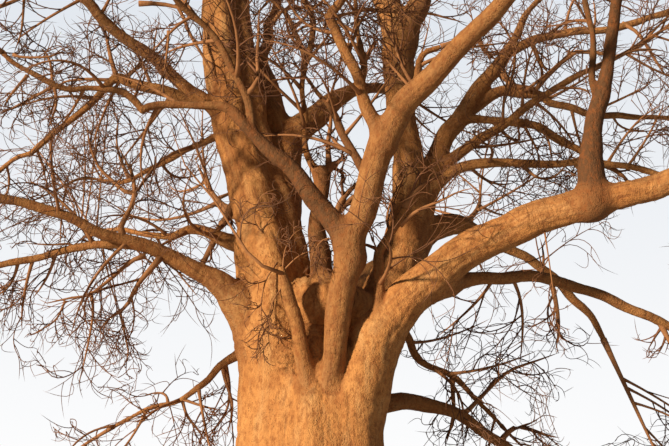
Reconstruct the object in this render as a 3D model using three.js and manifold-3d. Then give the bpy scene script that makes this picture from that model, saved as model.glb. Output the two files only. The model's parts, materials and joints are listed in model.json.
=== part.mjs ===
// A leafless baobab, rooted in level ground: a swollen trunk, the boughs that it divides into, and the
// masses of bare twigs that the boughs carry. Millimetres, +Z up, the origin in the middle of the flat
// cut at ground level. +X is to the right and +Y away for someone who looks at the tree's front.
import * as THREE from "three";
import { mergeVertices } from "three/addons/utils/BufferGeometryUtils.js";
import Module from "manifold-3d";

const METRE = 1000;
const GAP = 0.5; // between one piece of the tree and the next
const UP = new THREE.Vector3(0, 0, 1);

// The trunk: its radius at each height, and the lobes that the boughs and roots raise on it.
const TRUNK = {
  heights: [0, 0.25, 0.6, 1.1, 1.8, 2.7, 3.6, 4.5, 5.2, 5.8, 6.25, 6.5],
  radii: [2.2, 1.94, 1.76, 1.64, 1.55, 1.48, 1.41, 1.34, 1.24, 1.05, 0.75, 0.5],
  lobes: [
    { count: 3, turn: 0.35, rise: 0.03, flare: 0.02 },
    { count: 5, turn: 1.1, rise: 0.025, flare: 0.05 },
    { count: 8, turn: 0.2, rise: 0.008, flare: 0.06 },
  ],
  flareHeight: 0.8, // over this height the root lobes die away
  lean: -0.01, // metres to the right for each metre of height
  sides: 28,
};

// The boughs. Each starts inside the one that it grows from, and passes the few places given, in metres.
// Its girths are diameters in metres, spread evenly from foot to tip.
const BOUGHS = {
  left_leader: {
    girths: [1.4, 1.27, 1.14, 1.04, 0.98, 0.85],
    places: [
      [-0.55, -0.15, 5], [-0.65, -0.15, 6.7], [-0.85, -0.1, 8.25], [-1.35, 0, 10], [-1.7, 0, 11.9],
      [-1.8, 0.1, 13.6],
    ],
  },
  right_arm: {
    girths: [0.9, 0.88, 0.82, 0.7, 0.62, 0.65, 0.68, 0.43, 0.42, 0.3],
    places: [
      [0.6, -0.7, 4.3], [1.05, -0.95, 5.7], [1.55, -1.1, 6.45], [2.45, -1.35, 7.2],
      [3.1, -1.5, 7.55], [3.75, -1.7, 7.8], [4.4, -1.9, 8], [5.1, -2.1, 8.1], [6.05, -2.4, 8.3],
      [7.3, -3, 8.6],
    ],
  },
  front_arm: {
    girths: [0.25, 0.34, 0.46, 0.5, 0.47, 0.49, 0.48, 0.41, 0.35, 0.32, 0.25, 0.21, 0.18],
    places: [
      [0.38, -1.25, 5], [0.4, -1.4, 5.6], [0.5, -1.5, 6.4], [0.6, -1.55, 7], [0.7, -1.6, 7.5],
      [0.9, -1.7, 8.05], [1.12, -1.85, 8.85], [1.3, -2, 9.3], [1.6, -2.1, 9.8], [2, -2.4, 10.15],
      [2.95, -3.2, 10.9], [3.5, -3.8, 11.25], [4.6, -4.6, 12.1],
    ],
  },
  right_leader: {
    girths: [1, 0.96, 0.9, 0.8, 0.6, 0.42, 0.37, 0.35, 0.22, 0.15, 0.1],
    places: [
      [0.7, 0.45, 5.5], [1.35, 0.65, 7], [1.85, 0.9, 8.35], [2.5, 1.15, 10.2], [2.9, 1.3, 10.9],
      [3.45, 1.45, 11.75], [3.75, 1.5, 12.15], [3.95, 1.55, 12.45], [4.2, 1.65, 12.85],
      [4.5, 1.8, 13.55], [4.95, 2.1, 14.2],
    ],
  },
  back_left_arm: {
    girths: [0.85, 0.7, 0.5, 0.36, 0.22],
    places: [[-0.35, 0.65, 5.3], [-0.6, 1.9, 7.4], [-1.2, 4, 9.3], [-2.2, 6.2, 10.6]],
  },
  back_right_arm: {
    girths: [0.75, 0.6, 0.46, 0.32, 0.2],
    places: [[0.35, 0.85, 5.1], [0.9, 2.4, 7.4], [1.9, 4.4, 9.2], [3.3, 6.2, 10.2]],
  },
  back_low_arm: {
    girths: [0.5, 0.4, 0.3, 0.2],
    places: [[0, 1, 4.6], [-0.1, 2.4, 5.9], [-0.4, 4.4, 6.7], [-0.3, 6.4, 7]],
  },
  front_stub: {
    girths: [0.24, 0.28, 0.31, 0.31, 0.31, 0.26],
    places: [
      [0, -1.2, 4.7], [-0.08, -1.33, 5.15], [-0.15, -1.4, 5.6], [-0.3, -1.45, 6.15],
      [-0.45, -1.5, 6.65], [-0.5, -1.55, 7.1],
    ],
  },
  knob_limb: {
    girths: [0.48, 0.44, 0.39, 0.31, 0.24, 0.31],
    places: [
      [0.2, -0.4, 5.7], [0.18, -0.45, 6.55], [0.14, -0.53, 7.5], [0.08, -0.57, 8.1],
      [0.16, -0.6, 8.75], [0.22, -0.65, 9.2],
    ],
  },
  left_low_arm: {
    girths: [0.8, 0.6, 0.34, 0.27, 0.21, 0.18, 0.17, 0.17, 0.15, 0.12],
    places: [
      [-0.85, -0.15, 6.3], [-1.4, -0.4, 6.8], [-1.65, -0.5, 7], [-2.05, -0.6, 7.2],
      [-2.7, -0.9, 7.5], [-3.75, -1.3, 7.75], [-4.4, -1.55, 8], [-5.05, -1.7, 8.17],
      [-5.6, -1.85, 8.2], [-6.7, -2.3, 8.3],
    ],
  },
  left_low_fork: {
    girths: [0.18, 0.14, 0.13, 0.12, 0.1],
    places: [
      [-3, -1.05, 7.58], [-3.8, -0.95, 7.63], [-4.05, -0.9, 7.6], [-4.9, -0.75, 7.45],
      [-5.65, -0.65, 7.3], [-6.6, -0.6, 7.05],
    ],
  },
  left_high_arm: {
    girths: [0.36, 0.29, 0.24, 0.22, 0.21, 0.2, 0.17, 0.14, 0.12],
    places: [
      [-1.45, 0, 10.2], [-1.7, 0, 10.45], [-2, -0.15, 10.65], [-2.4, -0.3, 10.9],
      [-2.85, -0.45, 11.3], [-3.3, -0.65, 11.6], [-3.85, -0.85, 11.95], [-4.1, -1, 12.15],
      [-4.3, -1.1, 12.4], [-5.1, -1.6, 13], [-6.1, -2, 13.5],
    ],
  },
  left_bent_arm: {
    girths: [0.32, 0.24, 0.23, 0.21, 0.16, 0.13, 0.12, 0.1, 0.08],
    places: [
      [-1.5, 0.2, 10.6], [-1.75, 0.2, 10.75], [-2.55, 0.3, 11], [-3.1, 0.35, 11.2],
      [-3.7, 0.4, 11.4], [-3.92, 0.45, 11.5], [-4.1, 0.5, 11.4], [-4.5, 0.6, 11], [-5, 0.7, 10.57],
      [-5.45, 0.8, 10.25], [-5.67, 0.85, 10.05], [-5.95, 0.9, 9.95], [-6.4, 1, 9.65],
    ],
  },
  left_back_arm: {
    girths: [0.5, 0.32, 0.21, 0.16, 0.11, 0.1, 0.08],
    places: [
      [-0.9, 0.2, 7.7], [-1.2, 0.25, 7.9], [-1.6, 0.45, 8.1], [-2, 0.6, 8.3], [-2.4, 0.85, 8.45],
      [-2.8, 1.05, 8.4], [-3.3, 1.4, 8.5], [-3.85, 1.8, 8.75], [-4.2, 2.3, 8.9],
    ],
  },
  left_lowest_arm: {
    girths: [0.3, 0.17, 0.12, 0.09, 0.08, 0.06],
    places: [
      [-0.9, 0.3, 5.8], [-1.17, 0.4, 6], [-1.4, 0.55, 5.93], [-1.75, 0.75, 5.75],
      [-2.05, 0.95, 5.45], [-2.6, 1.25, 5.17], [-3.35, 1.6, 5], [-4, 1.9, 4.7],
    ],
  },
  inner_leader: {
    girths: [0.95, 0.85, 0.66, 0.42, 0.24, 0.2, 0.15],
    places: [[-0.75, 0.15, 8.3], [-0.6, 0.4, 9.8], [-0.85, 0.55, 11], [-1.05, 0.9, 12.2], [-0.8, 1.6, 14]],
  },
  inner_bow: {
    girths: [0.59, 0.54, 0.43, 0.28, 0.23, 0.22, 0.2],
    places: [
      [-0.55, 0.4, 10], [-0.28, 0.5, 10.45], [0.13, 0.6, 10.8], [0.5, 0.8, 11.25],
      [0.88, 1.1, 11.55], [1.37, 2, 11.98], [1.6, 2.6, 12.2],
    ],
  },
  leader_left_fork: {
    girths: [0.66, 0.5, 0.36, 0.24],
    places: [[-1.75, 0.1, 13.2], [-2.2, 0.2, 14.7], [-2.9, 0.6, 16.2]],
  },
  leader_right_fork: {
    girths: [0.62, 0.46, 0.34, 0.22],
    places: [[-1.75, 0.1, 13.2], [-1.4, -0.2, 14.8], [-0.8, -0.4, 16.3]],
  },
  cross_arm: {
    girths: [0.44, 0.39, 0.33, 0.28, 0.23, 0.18],
    places: [
      [0.72, -1.5, 7.2], [0.53, -1.6, 7.6], [0.15, -1.7, 8.1], [-0.38, -1.84, 8.75],
      [-0.78, -1.93, 9.1], [-1.2, -2.03, 9.5], [-1.36, -2.05, 9.7],
    ],
  },
  cross_arm_reach: {
    girths: [0.18, 0.13, 0.14, 0.1, 0.1, 0.07],
    places: [
      [-1.25, -2.03, 9.6], [-1.55, -2.07, 9.8], [-2.2, -2.1, 9.83], [-2.8, -2.13, 9.78],
      [-2.94, -2.14, 9.71], [-3.07, -2.15, 9.88], [-3.37, -2.2, 10.05], [-3.92, -2.3, 10.04],
      [-4.21, -2.35, 10.02], [-4.64, -2.45, 10.16], [-5.05, -2.55, 10.35], [-5.43, -2.7, 10.65],
    ],
  },
  cross_arm_riser: {
    girths: [0.16, 0.13, 0.11, 0.1, 0.08],
    places: [
      [-1.04, -2, 9.4], [-1.11, -2.05, 9.86], [-1.31, -2.15, 10.3], [-1.56, -2.25, 10.8],
      [-1.95, -2.4, 11.26], [-2.44, -2.7, 11.66], [-3, -3.3, 12.4],
    ],
  },
  front_fork: {
    girths: [0.32, 0.24, 0.19, 0.18, 0.16, 0.13, 0.11],
    places: [
      [1.3, -1.98, 9.1], [1.12, -2.02, 9.46], [0.95, -2.07, 9.85], [0.8, -2.15, 10.33],
      [0.67, -2.22, 10.6], [0.53, -2.3, 10.9], [0.42, -2.4, 11.15], [0.32, -2.45, 11.3],
      [0.36, -2.5, 11.45], [0.53, -2.7, 11.62], [0.75, -3.1, 12.5],
    ],
  },
  right_riser: {
    girths: [0.55, 0.46, 0.33, 0.3, 0.22, 0.21, 0.2, 0.17, 0.14],
    places: [
      [4.8, -2.05, 8], [4.82, -2.05, 8.4], [4.84, -2.05, 8.85], [4.89, -2.06, 9.4],
      [5.02, -2.08, 9.8], [5.1, -2.1, 10], [5.16, -2.12, 10.3], [5.24, -2.2, 10.75],
      [5.32, -2.4, 11.2], [5.34, -2.65, 11.7], [5.6, -3, 13],
    ],
  },
  right_low_arm: {
    girths: [0.36, 0.24, 0.22, 0.2, 0.19, 0.18, 0.13],
    places: [
      [2.1, -1.15, 6.7], [2.46, -1.1, 6.8], [2.65, -1, 6.93], [3.4, -0.6, 7.1], [4.15, -0.25, 7.2],
      [4.95, 0, 7.05], [5.7, 0.1, 6.78], [6.6, 0.2, 6.37], [6.95, 0.3, 6.2],
    ],
  },
  back_leader: {
    girths: [0.72, 0.62, 0.6, 0.66, 0.6, 0.44, 0.3],
    places: [
      [1.8, 0.85, 8.4], [1.88, 0.85, 9.7], [1.75, 0.9, 11], [1.68, 1, 12.8], [1.35, 1.2, 14],
      [0.9, 1.5, 15.3],
    ],
  },
  back_leader_fork: {
    girths: [0.56, 0.5, 0.38, 0.24],
    places: [[1.72, 0.95, 12.2], [2, 1, 13], [2.35, 1.1, 14.1], [3, 1.3, 15.4]],
  },
  right_high_arm: {
    girths: [0.26, 0.2, 0.17, 0.15, 0.15, 0.13],
    places: [
      [3.75, 1.55, 12.15], [3.95, 1.57, 12.45], [4.1, 1.6, 12.62], [4.62, 1.57, 12.87],
      [5.26, 1.52, 13.04], [6.12, 1.45, 13.07], [6.7, 1.4, 13.2], [7.6, 1.3, 13.45],
    ],
  },
  right_cross_arm: {
    girths: [0.3, 0.22, 0.18, 0.15, 0.13, 0.11],
    places: [
      [2.25, 1.1, 9.6], [2.7, 1, 9.96], [3.15, 0.95, 10.26], [3.85, 0.85, 10.7], [4.52, 0.8, 11.2],
      [5.17, 0.75, 11.6], [5.8, 0.7, 11.9],
    ],
  },
  right_level_arm: {
    girths: [0.3, 0.22, 0.17, 0.15, 0.13, 0.11],
    places: [
      [2, 1, 9.05], [2.3, 0.95, 9.3], [2.7, 0.9, 9.63], [3.17, 0.85, 9.83], [3.84, 0.75, 9.8],
      [4.64, 0.65, 9.75], [5.8, 0.5, 9.7], [7, 0.4, 9.35],
    ],
  },
  right_back_arm: {
    girths: [0.5, 0.54, 0.49, 0.34, 0.21, 0.18, 0.19, 0.16, 0.1],
    places: [
      [1.6, 0.9, 7.4], [2.05, 1.1, 8.2], [2.25, 1.2, 8.5], [2.5, 1.3, 8.67], [2.97, 1.5, 8.73],
      [3.47, 1.7, 8.54], [4, 1.9, 8.34], [4.4, 2.05, 8.17], [4.82, 2.2, 7.92], [5.23, 2.35, 7.5],
      [5.7, 2.5, 7.05], [5.95, 2.55, 6.5],
    ],
  },
  right_lowest_arm: {
    girths: [0.42, 0.33, 0.25, 0.2, 0.2, 0.16],
    places: [
      [0.95, 0.45, 5], [1.2, 0.55, 5], [1.42, 0.6, 5.02], [1.8, 0.7, 5.06], [2.55, 0.95, 4.94],
      [3.25, 1.25, 4.56], [3.6, 1.4, 4.36], [4, 1.7, 4.1],
    ],
  },
};

// The masses of twigs: the bough that each grows on from, how far its stem reaches past that bough's tip
// in metres, and how much its shoots lift, or droop if it is negative.
const MASSES = {
  twigs_top_left: ["leader_left_fork", 2.6, 0.6],
  twigs_top_middle: ["leader_right_fork", 2.5, 0.6],
  twigs_high_left: ["left_high_arm", 2.9, 0.5],
  twigs_bent_left: ["left_bent_arm", 2.6, 0.1],
  twigs_back_left: ["left_back_arm", 3.2, 0.3],
  twigs_low_left: ["left_low_arm", 3.2, 0.1],
  twigs_lowest_left: ["left_lowest_arm", 2.3, -0.5],
  twigs_cross: ["cross_arm_reach", 2.6, 0.4],
  twigs_front_left: ["cross_arm_riser", 2.8, 0.5],
  twigs_front: ["front_fork", 2.8, 0.5],
  twigs_front_right: ["front_arm", 3.2, 0.5],
  twigs_right: ["right_arm", 2.9, 0.3],
  twigs_right_rise: ["right_riser", 2.8, 0.6],
  twigs_inner: ["inner_leader", 2.6, 0.6],
  twigs_bow: ["inner_bow", 2.2, 0.5],
  twigs_top_back: ["back_leader", 2.6, 0.6],
  twigs_top_right: ["back_leader_fork", 2.7, 0.6],
  twigs_high_right: ["right_leader", 2.7, 0.6],
  twigs_far_right: ["right_high_arm", 2.6, 0.4],
  twigs_level_right: ["right_level_arm", 2.7, 0.1],
  twigs_cross_right: ["right_cross_arm", 2.2, 0.4],
  twigs_right_back: ["right_back_arm", 2.8, -0.3],
  twigs_low_right: ["right_low_arm", 2.6, -0.3],
  twigs_lowest_right: ["right_lowest_arm", 2.4, -0.5],
  twigs_back_high: ["back_left_arm", 3.2, 0.5],
  twigs_back_right: ["back_right_arm", 3.2, 0.5],
  twigs_back_low: ["back_low_arm", 2.8, 0.2],
};

// The rule by which twigs branch, shoot upon shoot. Lengths are shares of the shoot that bears them.
const TWIG = {
  children: [4, 2], // on a mass's stem, and on each branch of it
  steps: [4, 2, 1],
  attempts: 8,
  firstAt: 0.16,
  childLength: [1.0, 0.6],
  spread: [0.75, 1.25], // radians that a child turns away from its parent
  wander: 0.8, // how far a shoot strays from its heading towards its tip, as a share of it
  tipRadii: [0.03, 0.018, 0.01], // metres, of a stem, a branch and a twig
  childRadius: 0.55,
  clear: 0.06, // metres that a twig keeps from limbs and from other masses
  sides: 3,
  simplest: 8, // mm that fusing may move a face, which leaves fewer of them
};

const wasm = await Module();
wasm.setup();

function solidFrom(geometry) {
  geometry.deleteAttribute("normal");
  geometry.deleteAttribute("uv");
  const merged = mergeVertices(geometry, 1e-3);
  return new wasm.Manifold(
    new wasm.Mesh({
      numProp: 3,
      vertProperties: merged.attributes.position.array,
      triVerts: new Uint32Array(merged.index.array),
    }),
  );
}

function geometryFrom(solid) {
  const mesh = solid.getMesh();
  const geometry = new THREE.BufferGeometry();
  geometry.setAttribute("position", new THREE.BufferAttribute(mesh.vertProperties, 3));
  geometry.setIndex(new THREE.BufferAttribute(mesh.triVerts, 1));
  return geometry;
}

function largestBody(solid) {
  return solid.decompose().reduce((a, b) => (b.volume() > a.volume() ? b : a));
}

// A value read from an evenly spread list, at a share from 0 to 1.
function spreadValue(list, share) {
  const at = Math.min(Math.max(share, 0), 1) * (list.length - 1);
  const below = Math.min(Math.floor(at), list.length - 2);
  return THREE.MathUtils.lerp(list[below], list[below + 1], at - below);
}

// The trunk is a closed cylinder whose rings take their radius from the height and from the lobes.
function trunkSolid(extra = 0) {
  const { heights, radii, lobes, flareHeight, lean, sides } = TRUNK;
  const geometry = new THREE.CylinderGeometry(1, 1, 1, sides, heights.length - 1);
  geometry.rotateX(Math.PI / 2);
  const position = geometry.attributes.position;
  for (let i = 0; i < position.count; i++) {
    const ring = Math.round((position.getZ(i) + 0.5) * (heights.length - 1));
    const angle = Math.atan2(position.getY(i), position.getX(i));
    const share = Math.hypot(position.getX(i), position.getY(i));
    let swell = 1;
    for (const { count, turn, rise, flare } of lobes) {
      swell += (rise + flare * Math.exp(-heights[ring] / flareHeight)) * Math.cos(count * (angle - turn));
    }
    const radius = share * (radii[ring] * swell * METRE + extra);
    const lift = ring === heights.length - 1 ? extra : 0;
    position.setXYZ(
      i,
      radius * Math.cos(angle) + lean * heights[ring] * METRE,
      radius * Math.sin(angle),
      heights[ring] * METRE + lift,
    );
  }
  return solidFrom(geometry);
}

// A tube: a closed cylinder laid along a curve, with a radius that changes along it. The overshoot is
// how far both its ends go past the curve's.
function tubeSolid(curve, radiusAt, sides, steps, overshoot = 0) {
  const geometry = new THREE.CylinderGeometry(1, 1, 1, sides, steps);
  const { tangents, normals } = curve.computeFrenetFrames(steps, false);
  const position = geometry.attributes.position;
  const point = new THREE.Vector3();
  for (let i = 0; i < position.count; i++) {
    const ring = Math.round((position.getY(i) + 0.5) * steps);
    const side = new THREE.Vector3().crossVectors(normals[ring], tangents[ring]);
    curve.getPointAt(ring / steps, point);
    if (ring === 0) point.addScaledVector(tangents[0], -overshoot);
    if (ring === steps) point.addScaledVector(tangents[steps], overshoot);
    point.addScaledVector(normals[ring], position.getX(i) * radiusAt(ring / steps));
    point.addScaledVector(side, position.getZ(i) * radiusAt(ring / steps));
    position.setXYZ(i, point.x, point.y, point.z);
  }
  return solidFrom(geometry);
}

// A bough as a limb: its curve, its radius at each share of its length, and its tip.
function limbOf({ girths, places }) {
  const points = places.map(([x, y, z]) => new THREE.Vector3(x, y, z).multiplyScalar(METRE));
  const curve = new THREE.CatmullRomCurve3(points, false, "catmullrom", 0.5);
  const radiusAt = (share) => (spreadValue(girths, share) / 2) * METRE;
  const length = curve.getLength();
  return { curve, radiusAt, length, samples: curve.getSpacedPoints(Math.ceil(length / 400)) };
}

function limbSolid({ curve, radiusAt, length }, extra = 0) {
  const sides = radiusAt(0) > 300 ? 11 : radiusAt(0) > 180 ? 8 : 6;
  const steps = Math.max(5, Math.round(length / 850));
  return tubeSolid(curve, (share) => radiusAt(share) + extra, sides, steps, extra);
}

// A number from 0 to 1 that depends only on two whole numbers, so each build grows the same twigs.
function chance(shoot, use) {
  let mixed = (Math.imul(shoot, 0x9e3779b1) ^ Math.imul(use + 1, 0x85ebca6b)) >>> 0;
  mixed = Math.imul(mixed ^ (mixed >>> 15), 0x2c1b3c6d) >>> 0;
  mixed = Math.imul(mixed ^ (mixed >>> 12), 0x297a2d39) >>> 0;
  return ((mixed ^ (mixed >>> 15)) >>> 0) / 2 ** 32;
}

function between([low, high], share) {
  return low + (high - low) * share;
}

// One shoot: its points, from its foot inside the shoot that bears it. It sets off along its heading,
// wanders to one side and lifts or droops, more and more towards its tip.
function shootPoints(foot, heading, length, steps, id, lift) {
  const curl = new THREE.Vector3(chance(id, 1) - 0.5, chance(id, 2) - 0.5, chance(id, 3) - 0.5);
  curl.multiplyScalar(2 * TWIG.wander).addScaledVector(UP, lift);
  const points = [foot.clone()];
  for (let step = 0; step < steps; step++) {
    const along = (step + 0.5) / steps;
    const way = heading.clone().addScaledVector(curl, along ** 1.5).normalize();
    points.push(points[step].clone().addScaledVector(way, length / steps));
  }
  return points;
}

function pointOn(points, share) {
  const at = share * (points.length - 1);
  const below = Math.min(Math.floor(at), points.length - 2);
  return points[below].clone().lerp(points[below + 1], at - below);
}

function headingOn(points, share) {
  const below = Math.min(Math.floor(share * (points.length - 1)), points.length - 2);
  return points[below + 1].clone().sub(points[below]).normalize();
}

// Where the nth child of a shoot leaves it, and which way: children step round the shoot by the golden
// angle, and each turns away from it by the spread.
function childFoot(parent, nth, id) {
  const share = TWIG.firstAt + (0.97 - TWIG.firstAt) * ((0.5 + nth * 0.618034) % 1);
  const along = headingOn(parent.points, share);
  const aside = new THREE.Vector3(chance(id, 5) - 0.5, chance(id, 6) - 0.5, chance(id, 7) - 0.5);
  const across = new THREE.Vector3().crossVectors(along, aside).normalize();
  const turn = between(TWIG.spread, chance(id, 8));
  return {
    share,
    foot: pointOn(parent.points, share),
    heading: along.multiplyScalar(Math.cos(turn)).addScaledVector(across, Math.sin(turn)),
  };
}

function radiusOn(shoot, share) {
  return THREE.MathUtils.lerp(shoot.radius, shoot.tipRadius, share);
}

// The nth child of a shoot. It tries a few ways to go, and is skipped if each of them leaves the mass's
// space or touches a limb.
function childOf(mass, parent, nth, level) {
  const tipRadius = TWIG.tipRadii[level] * METRE;
  for (let attempt = 0; attempt < TWIG.attempts; attempt++) {
    const id = (Math.imul(parent.id, 97) + nth * TWIG.attempts + attempt + 1) >>> 0;
    const { share, foot, heading } = childFoot(parent, nth, id);
    const shorter = (1.2 - 0.6 * share) * between([0.8, 1.2], chance(id, 9));
    const length = parent.length * TWIG.childLength[level - 1] * shorter;
    const points = shootPoints(foot, heading, length, TWIG.steps[level], id, mass.lift);
    const radius = Math.max(radiusOn(parent, share) * TWIG.childRadius, tipRadius);
    if (keeps(mass, points)) return { id, points, length, radius, tipRadius };
  }
  return null;
}

// Every shoot of one mass, the stem first.
function shootsOf(mass) {
  const shoots = [mass.stem];
  let bearers = [mass.stem];
  TWIG.children.forEach((count, index) => {
    const next = [];
    for (const parent of bearers) {
      for (let nth = 0; nth < count; nth++) {
        const shoot = childOf(mass, parent, nth, index + 1);
        if (shoot) next.push(shoot);
      }
    }
    shoots.push(...next);
    bearers = next;
  });
  return shoots;
}

function stemOf(limb, reach, lift, id) {
  const foot = limb.curve.getPointAt(1);
  const heading = limb.curve.getTangentAt(1);
  foot.addScaledVector(heading, GAP);
  const length = reach * METRE;
  const points = shootPoints(foot, heading, length, TWIG.steps[0], id, lift);
  const radius = limb.radiusAt(1) * 0.98;
  return { id, points, length, radius, tipRadius: TWIG.tipRadii[0] * METRE };
}

function shootSolid(shoot, sides) {
  const curve = new THREE.CatmullRomCurve3(shoot.points, false, "catmullrom", 0.5);
  return tubeSolid(curve, (share) => radiusOn(shoot, share), sides, shoot.points.length - 1);
}

const tree = new THREE.Group();

function addNode(name, solid, look) {
  const mesh = new THREE.Mesh(geometryFrom(solid), new THREE.MeshStandardMaterial(look));
  mesh.name = name;
  tree.add(mesh);
}

const BARK = { color: 0xb9793f, roughness: 0.85, metalness: 0 };
const TWIG_BARK = { color: 0x6b4430, roughness: 0.9, metalness: 0 };

addNode("trunk", trunkSolid(), BARK);

// Each bough is cut clear of the trunk and of the boughs before it, which leaves its foot shaped to fit.
const limbs = Object.fromEntries(Object.entries(BOUGHS).map(([name, bough]) => [name, limbOf(bough)]));
const grown = [trunkSolid(GAP)];
for (const [name, limb] of Object.entries(limbs)) {
  let solid = limbSolid(limb);
  for (const other of grown) solid = solid.subtract(other);
  addNode(name, largestBody(solid), BARK);
  grown.push(limbSolid(limb, GAP));
}

// A mass's own space is what lies nearer to its middle than to any other mass's, and clear of the limbs.
const masses = Object.entries(MASSES).map(([name, [bough, reach, lift]], index) => {
  const stem = stemOf(limbs[bough], reach, lift, index + 1);
  return { name, limb: limbs[bough], lift, stem, middle: pointOn(stem.points, 0.5) };
});

function keeps(mass, points) {
  const clear = TWIG.clear * METRE;
  return points.slice(1).every((point) => {
    const own = point.distanceTo(mass.middle);
    const inSpace = masses.every((other) => other === mass || point.distanceTo(other.middle) > own + 2 * clear);
    const offLimbs = Object.values(limbs).every(({ samples, radiusAt }) =>
      samples.every((sample, i) => point.distanceTo(sample) > radiusAt(i / (samples.length - 1)) + 4 * clear),
    );
    return inSpace && offLimbs;
  });
}

for (const mass of masses) {
  const [stem, ...others] = shootsOf(mass);
  let solid = shootSolid(stem, 5);
  for (const shoot of others) solid = solid.add(shootSolid(shoot, TWIG.sides));
  solid = solid.simplify(TWIG.simplest).subtract(limbSolid(mass.limb, GAP));
  addNode(mass.name, largestBody(solid), TWIG_BARK);
}

export default tree;
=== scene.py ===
import json

import bmesh
import bpy
import numpy as np
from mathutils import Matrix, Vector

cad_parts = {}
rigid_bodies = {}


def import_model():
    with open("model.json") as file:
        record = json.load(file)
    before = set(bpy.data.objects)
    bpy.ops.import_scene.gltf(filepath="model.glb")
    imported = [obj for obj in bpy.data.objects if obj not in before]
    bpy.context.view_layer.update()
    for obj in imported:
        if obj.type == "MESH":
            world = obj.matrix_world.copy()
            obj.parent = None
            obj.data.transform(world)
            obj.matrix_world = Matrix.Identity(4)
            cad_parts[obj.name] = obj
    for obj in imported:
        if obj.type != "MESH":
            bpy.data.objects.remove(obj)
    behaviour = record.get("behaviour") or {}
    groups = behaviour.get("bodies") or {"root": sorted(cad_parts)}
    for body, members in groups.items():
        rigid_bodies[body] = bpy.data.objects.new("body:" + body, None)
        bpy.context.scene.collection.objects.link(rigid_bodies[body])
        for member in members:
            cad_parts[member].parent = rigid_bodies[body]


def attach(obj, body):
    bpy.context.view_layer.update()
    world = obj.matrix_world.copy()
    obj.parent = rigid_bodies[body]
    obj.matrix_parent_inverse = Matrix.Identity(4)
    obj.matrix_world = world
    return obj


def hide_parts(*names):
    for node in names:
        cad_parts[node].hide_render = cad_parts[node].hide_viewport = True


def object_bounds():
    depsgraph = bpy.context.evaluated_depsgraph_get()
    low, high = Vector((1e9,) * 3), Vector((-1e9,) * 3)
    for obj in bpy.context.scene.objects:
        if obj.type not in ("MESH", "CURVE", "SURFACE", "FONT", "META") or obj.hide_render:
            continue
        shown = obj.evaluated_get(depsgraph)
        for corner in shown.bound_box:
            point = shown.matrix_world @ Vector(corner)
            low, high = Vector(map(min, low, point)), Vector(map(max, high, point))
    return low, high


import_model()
cad_box = [list(corner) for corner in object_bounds()]


# The trunk and boughs under their bark: soft, swollen wood that flows from the trunk into each bough. One
# closed skin is laid over all of them, so that every fork has the fold and the smooth web that it grew.

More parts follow.
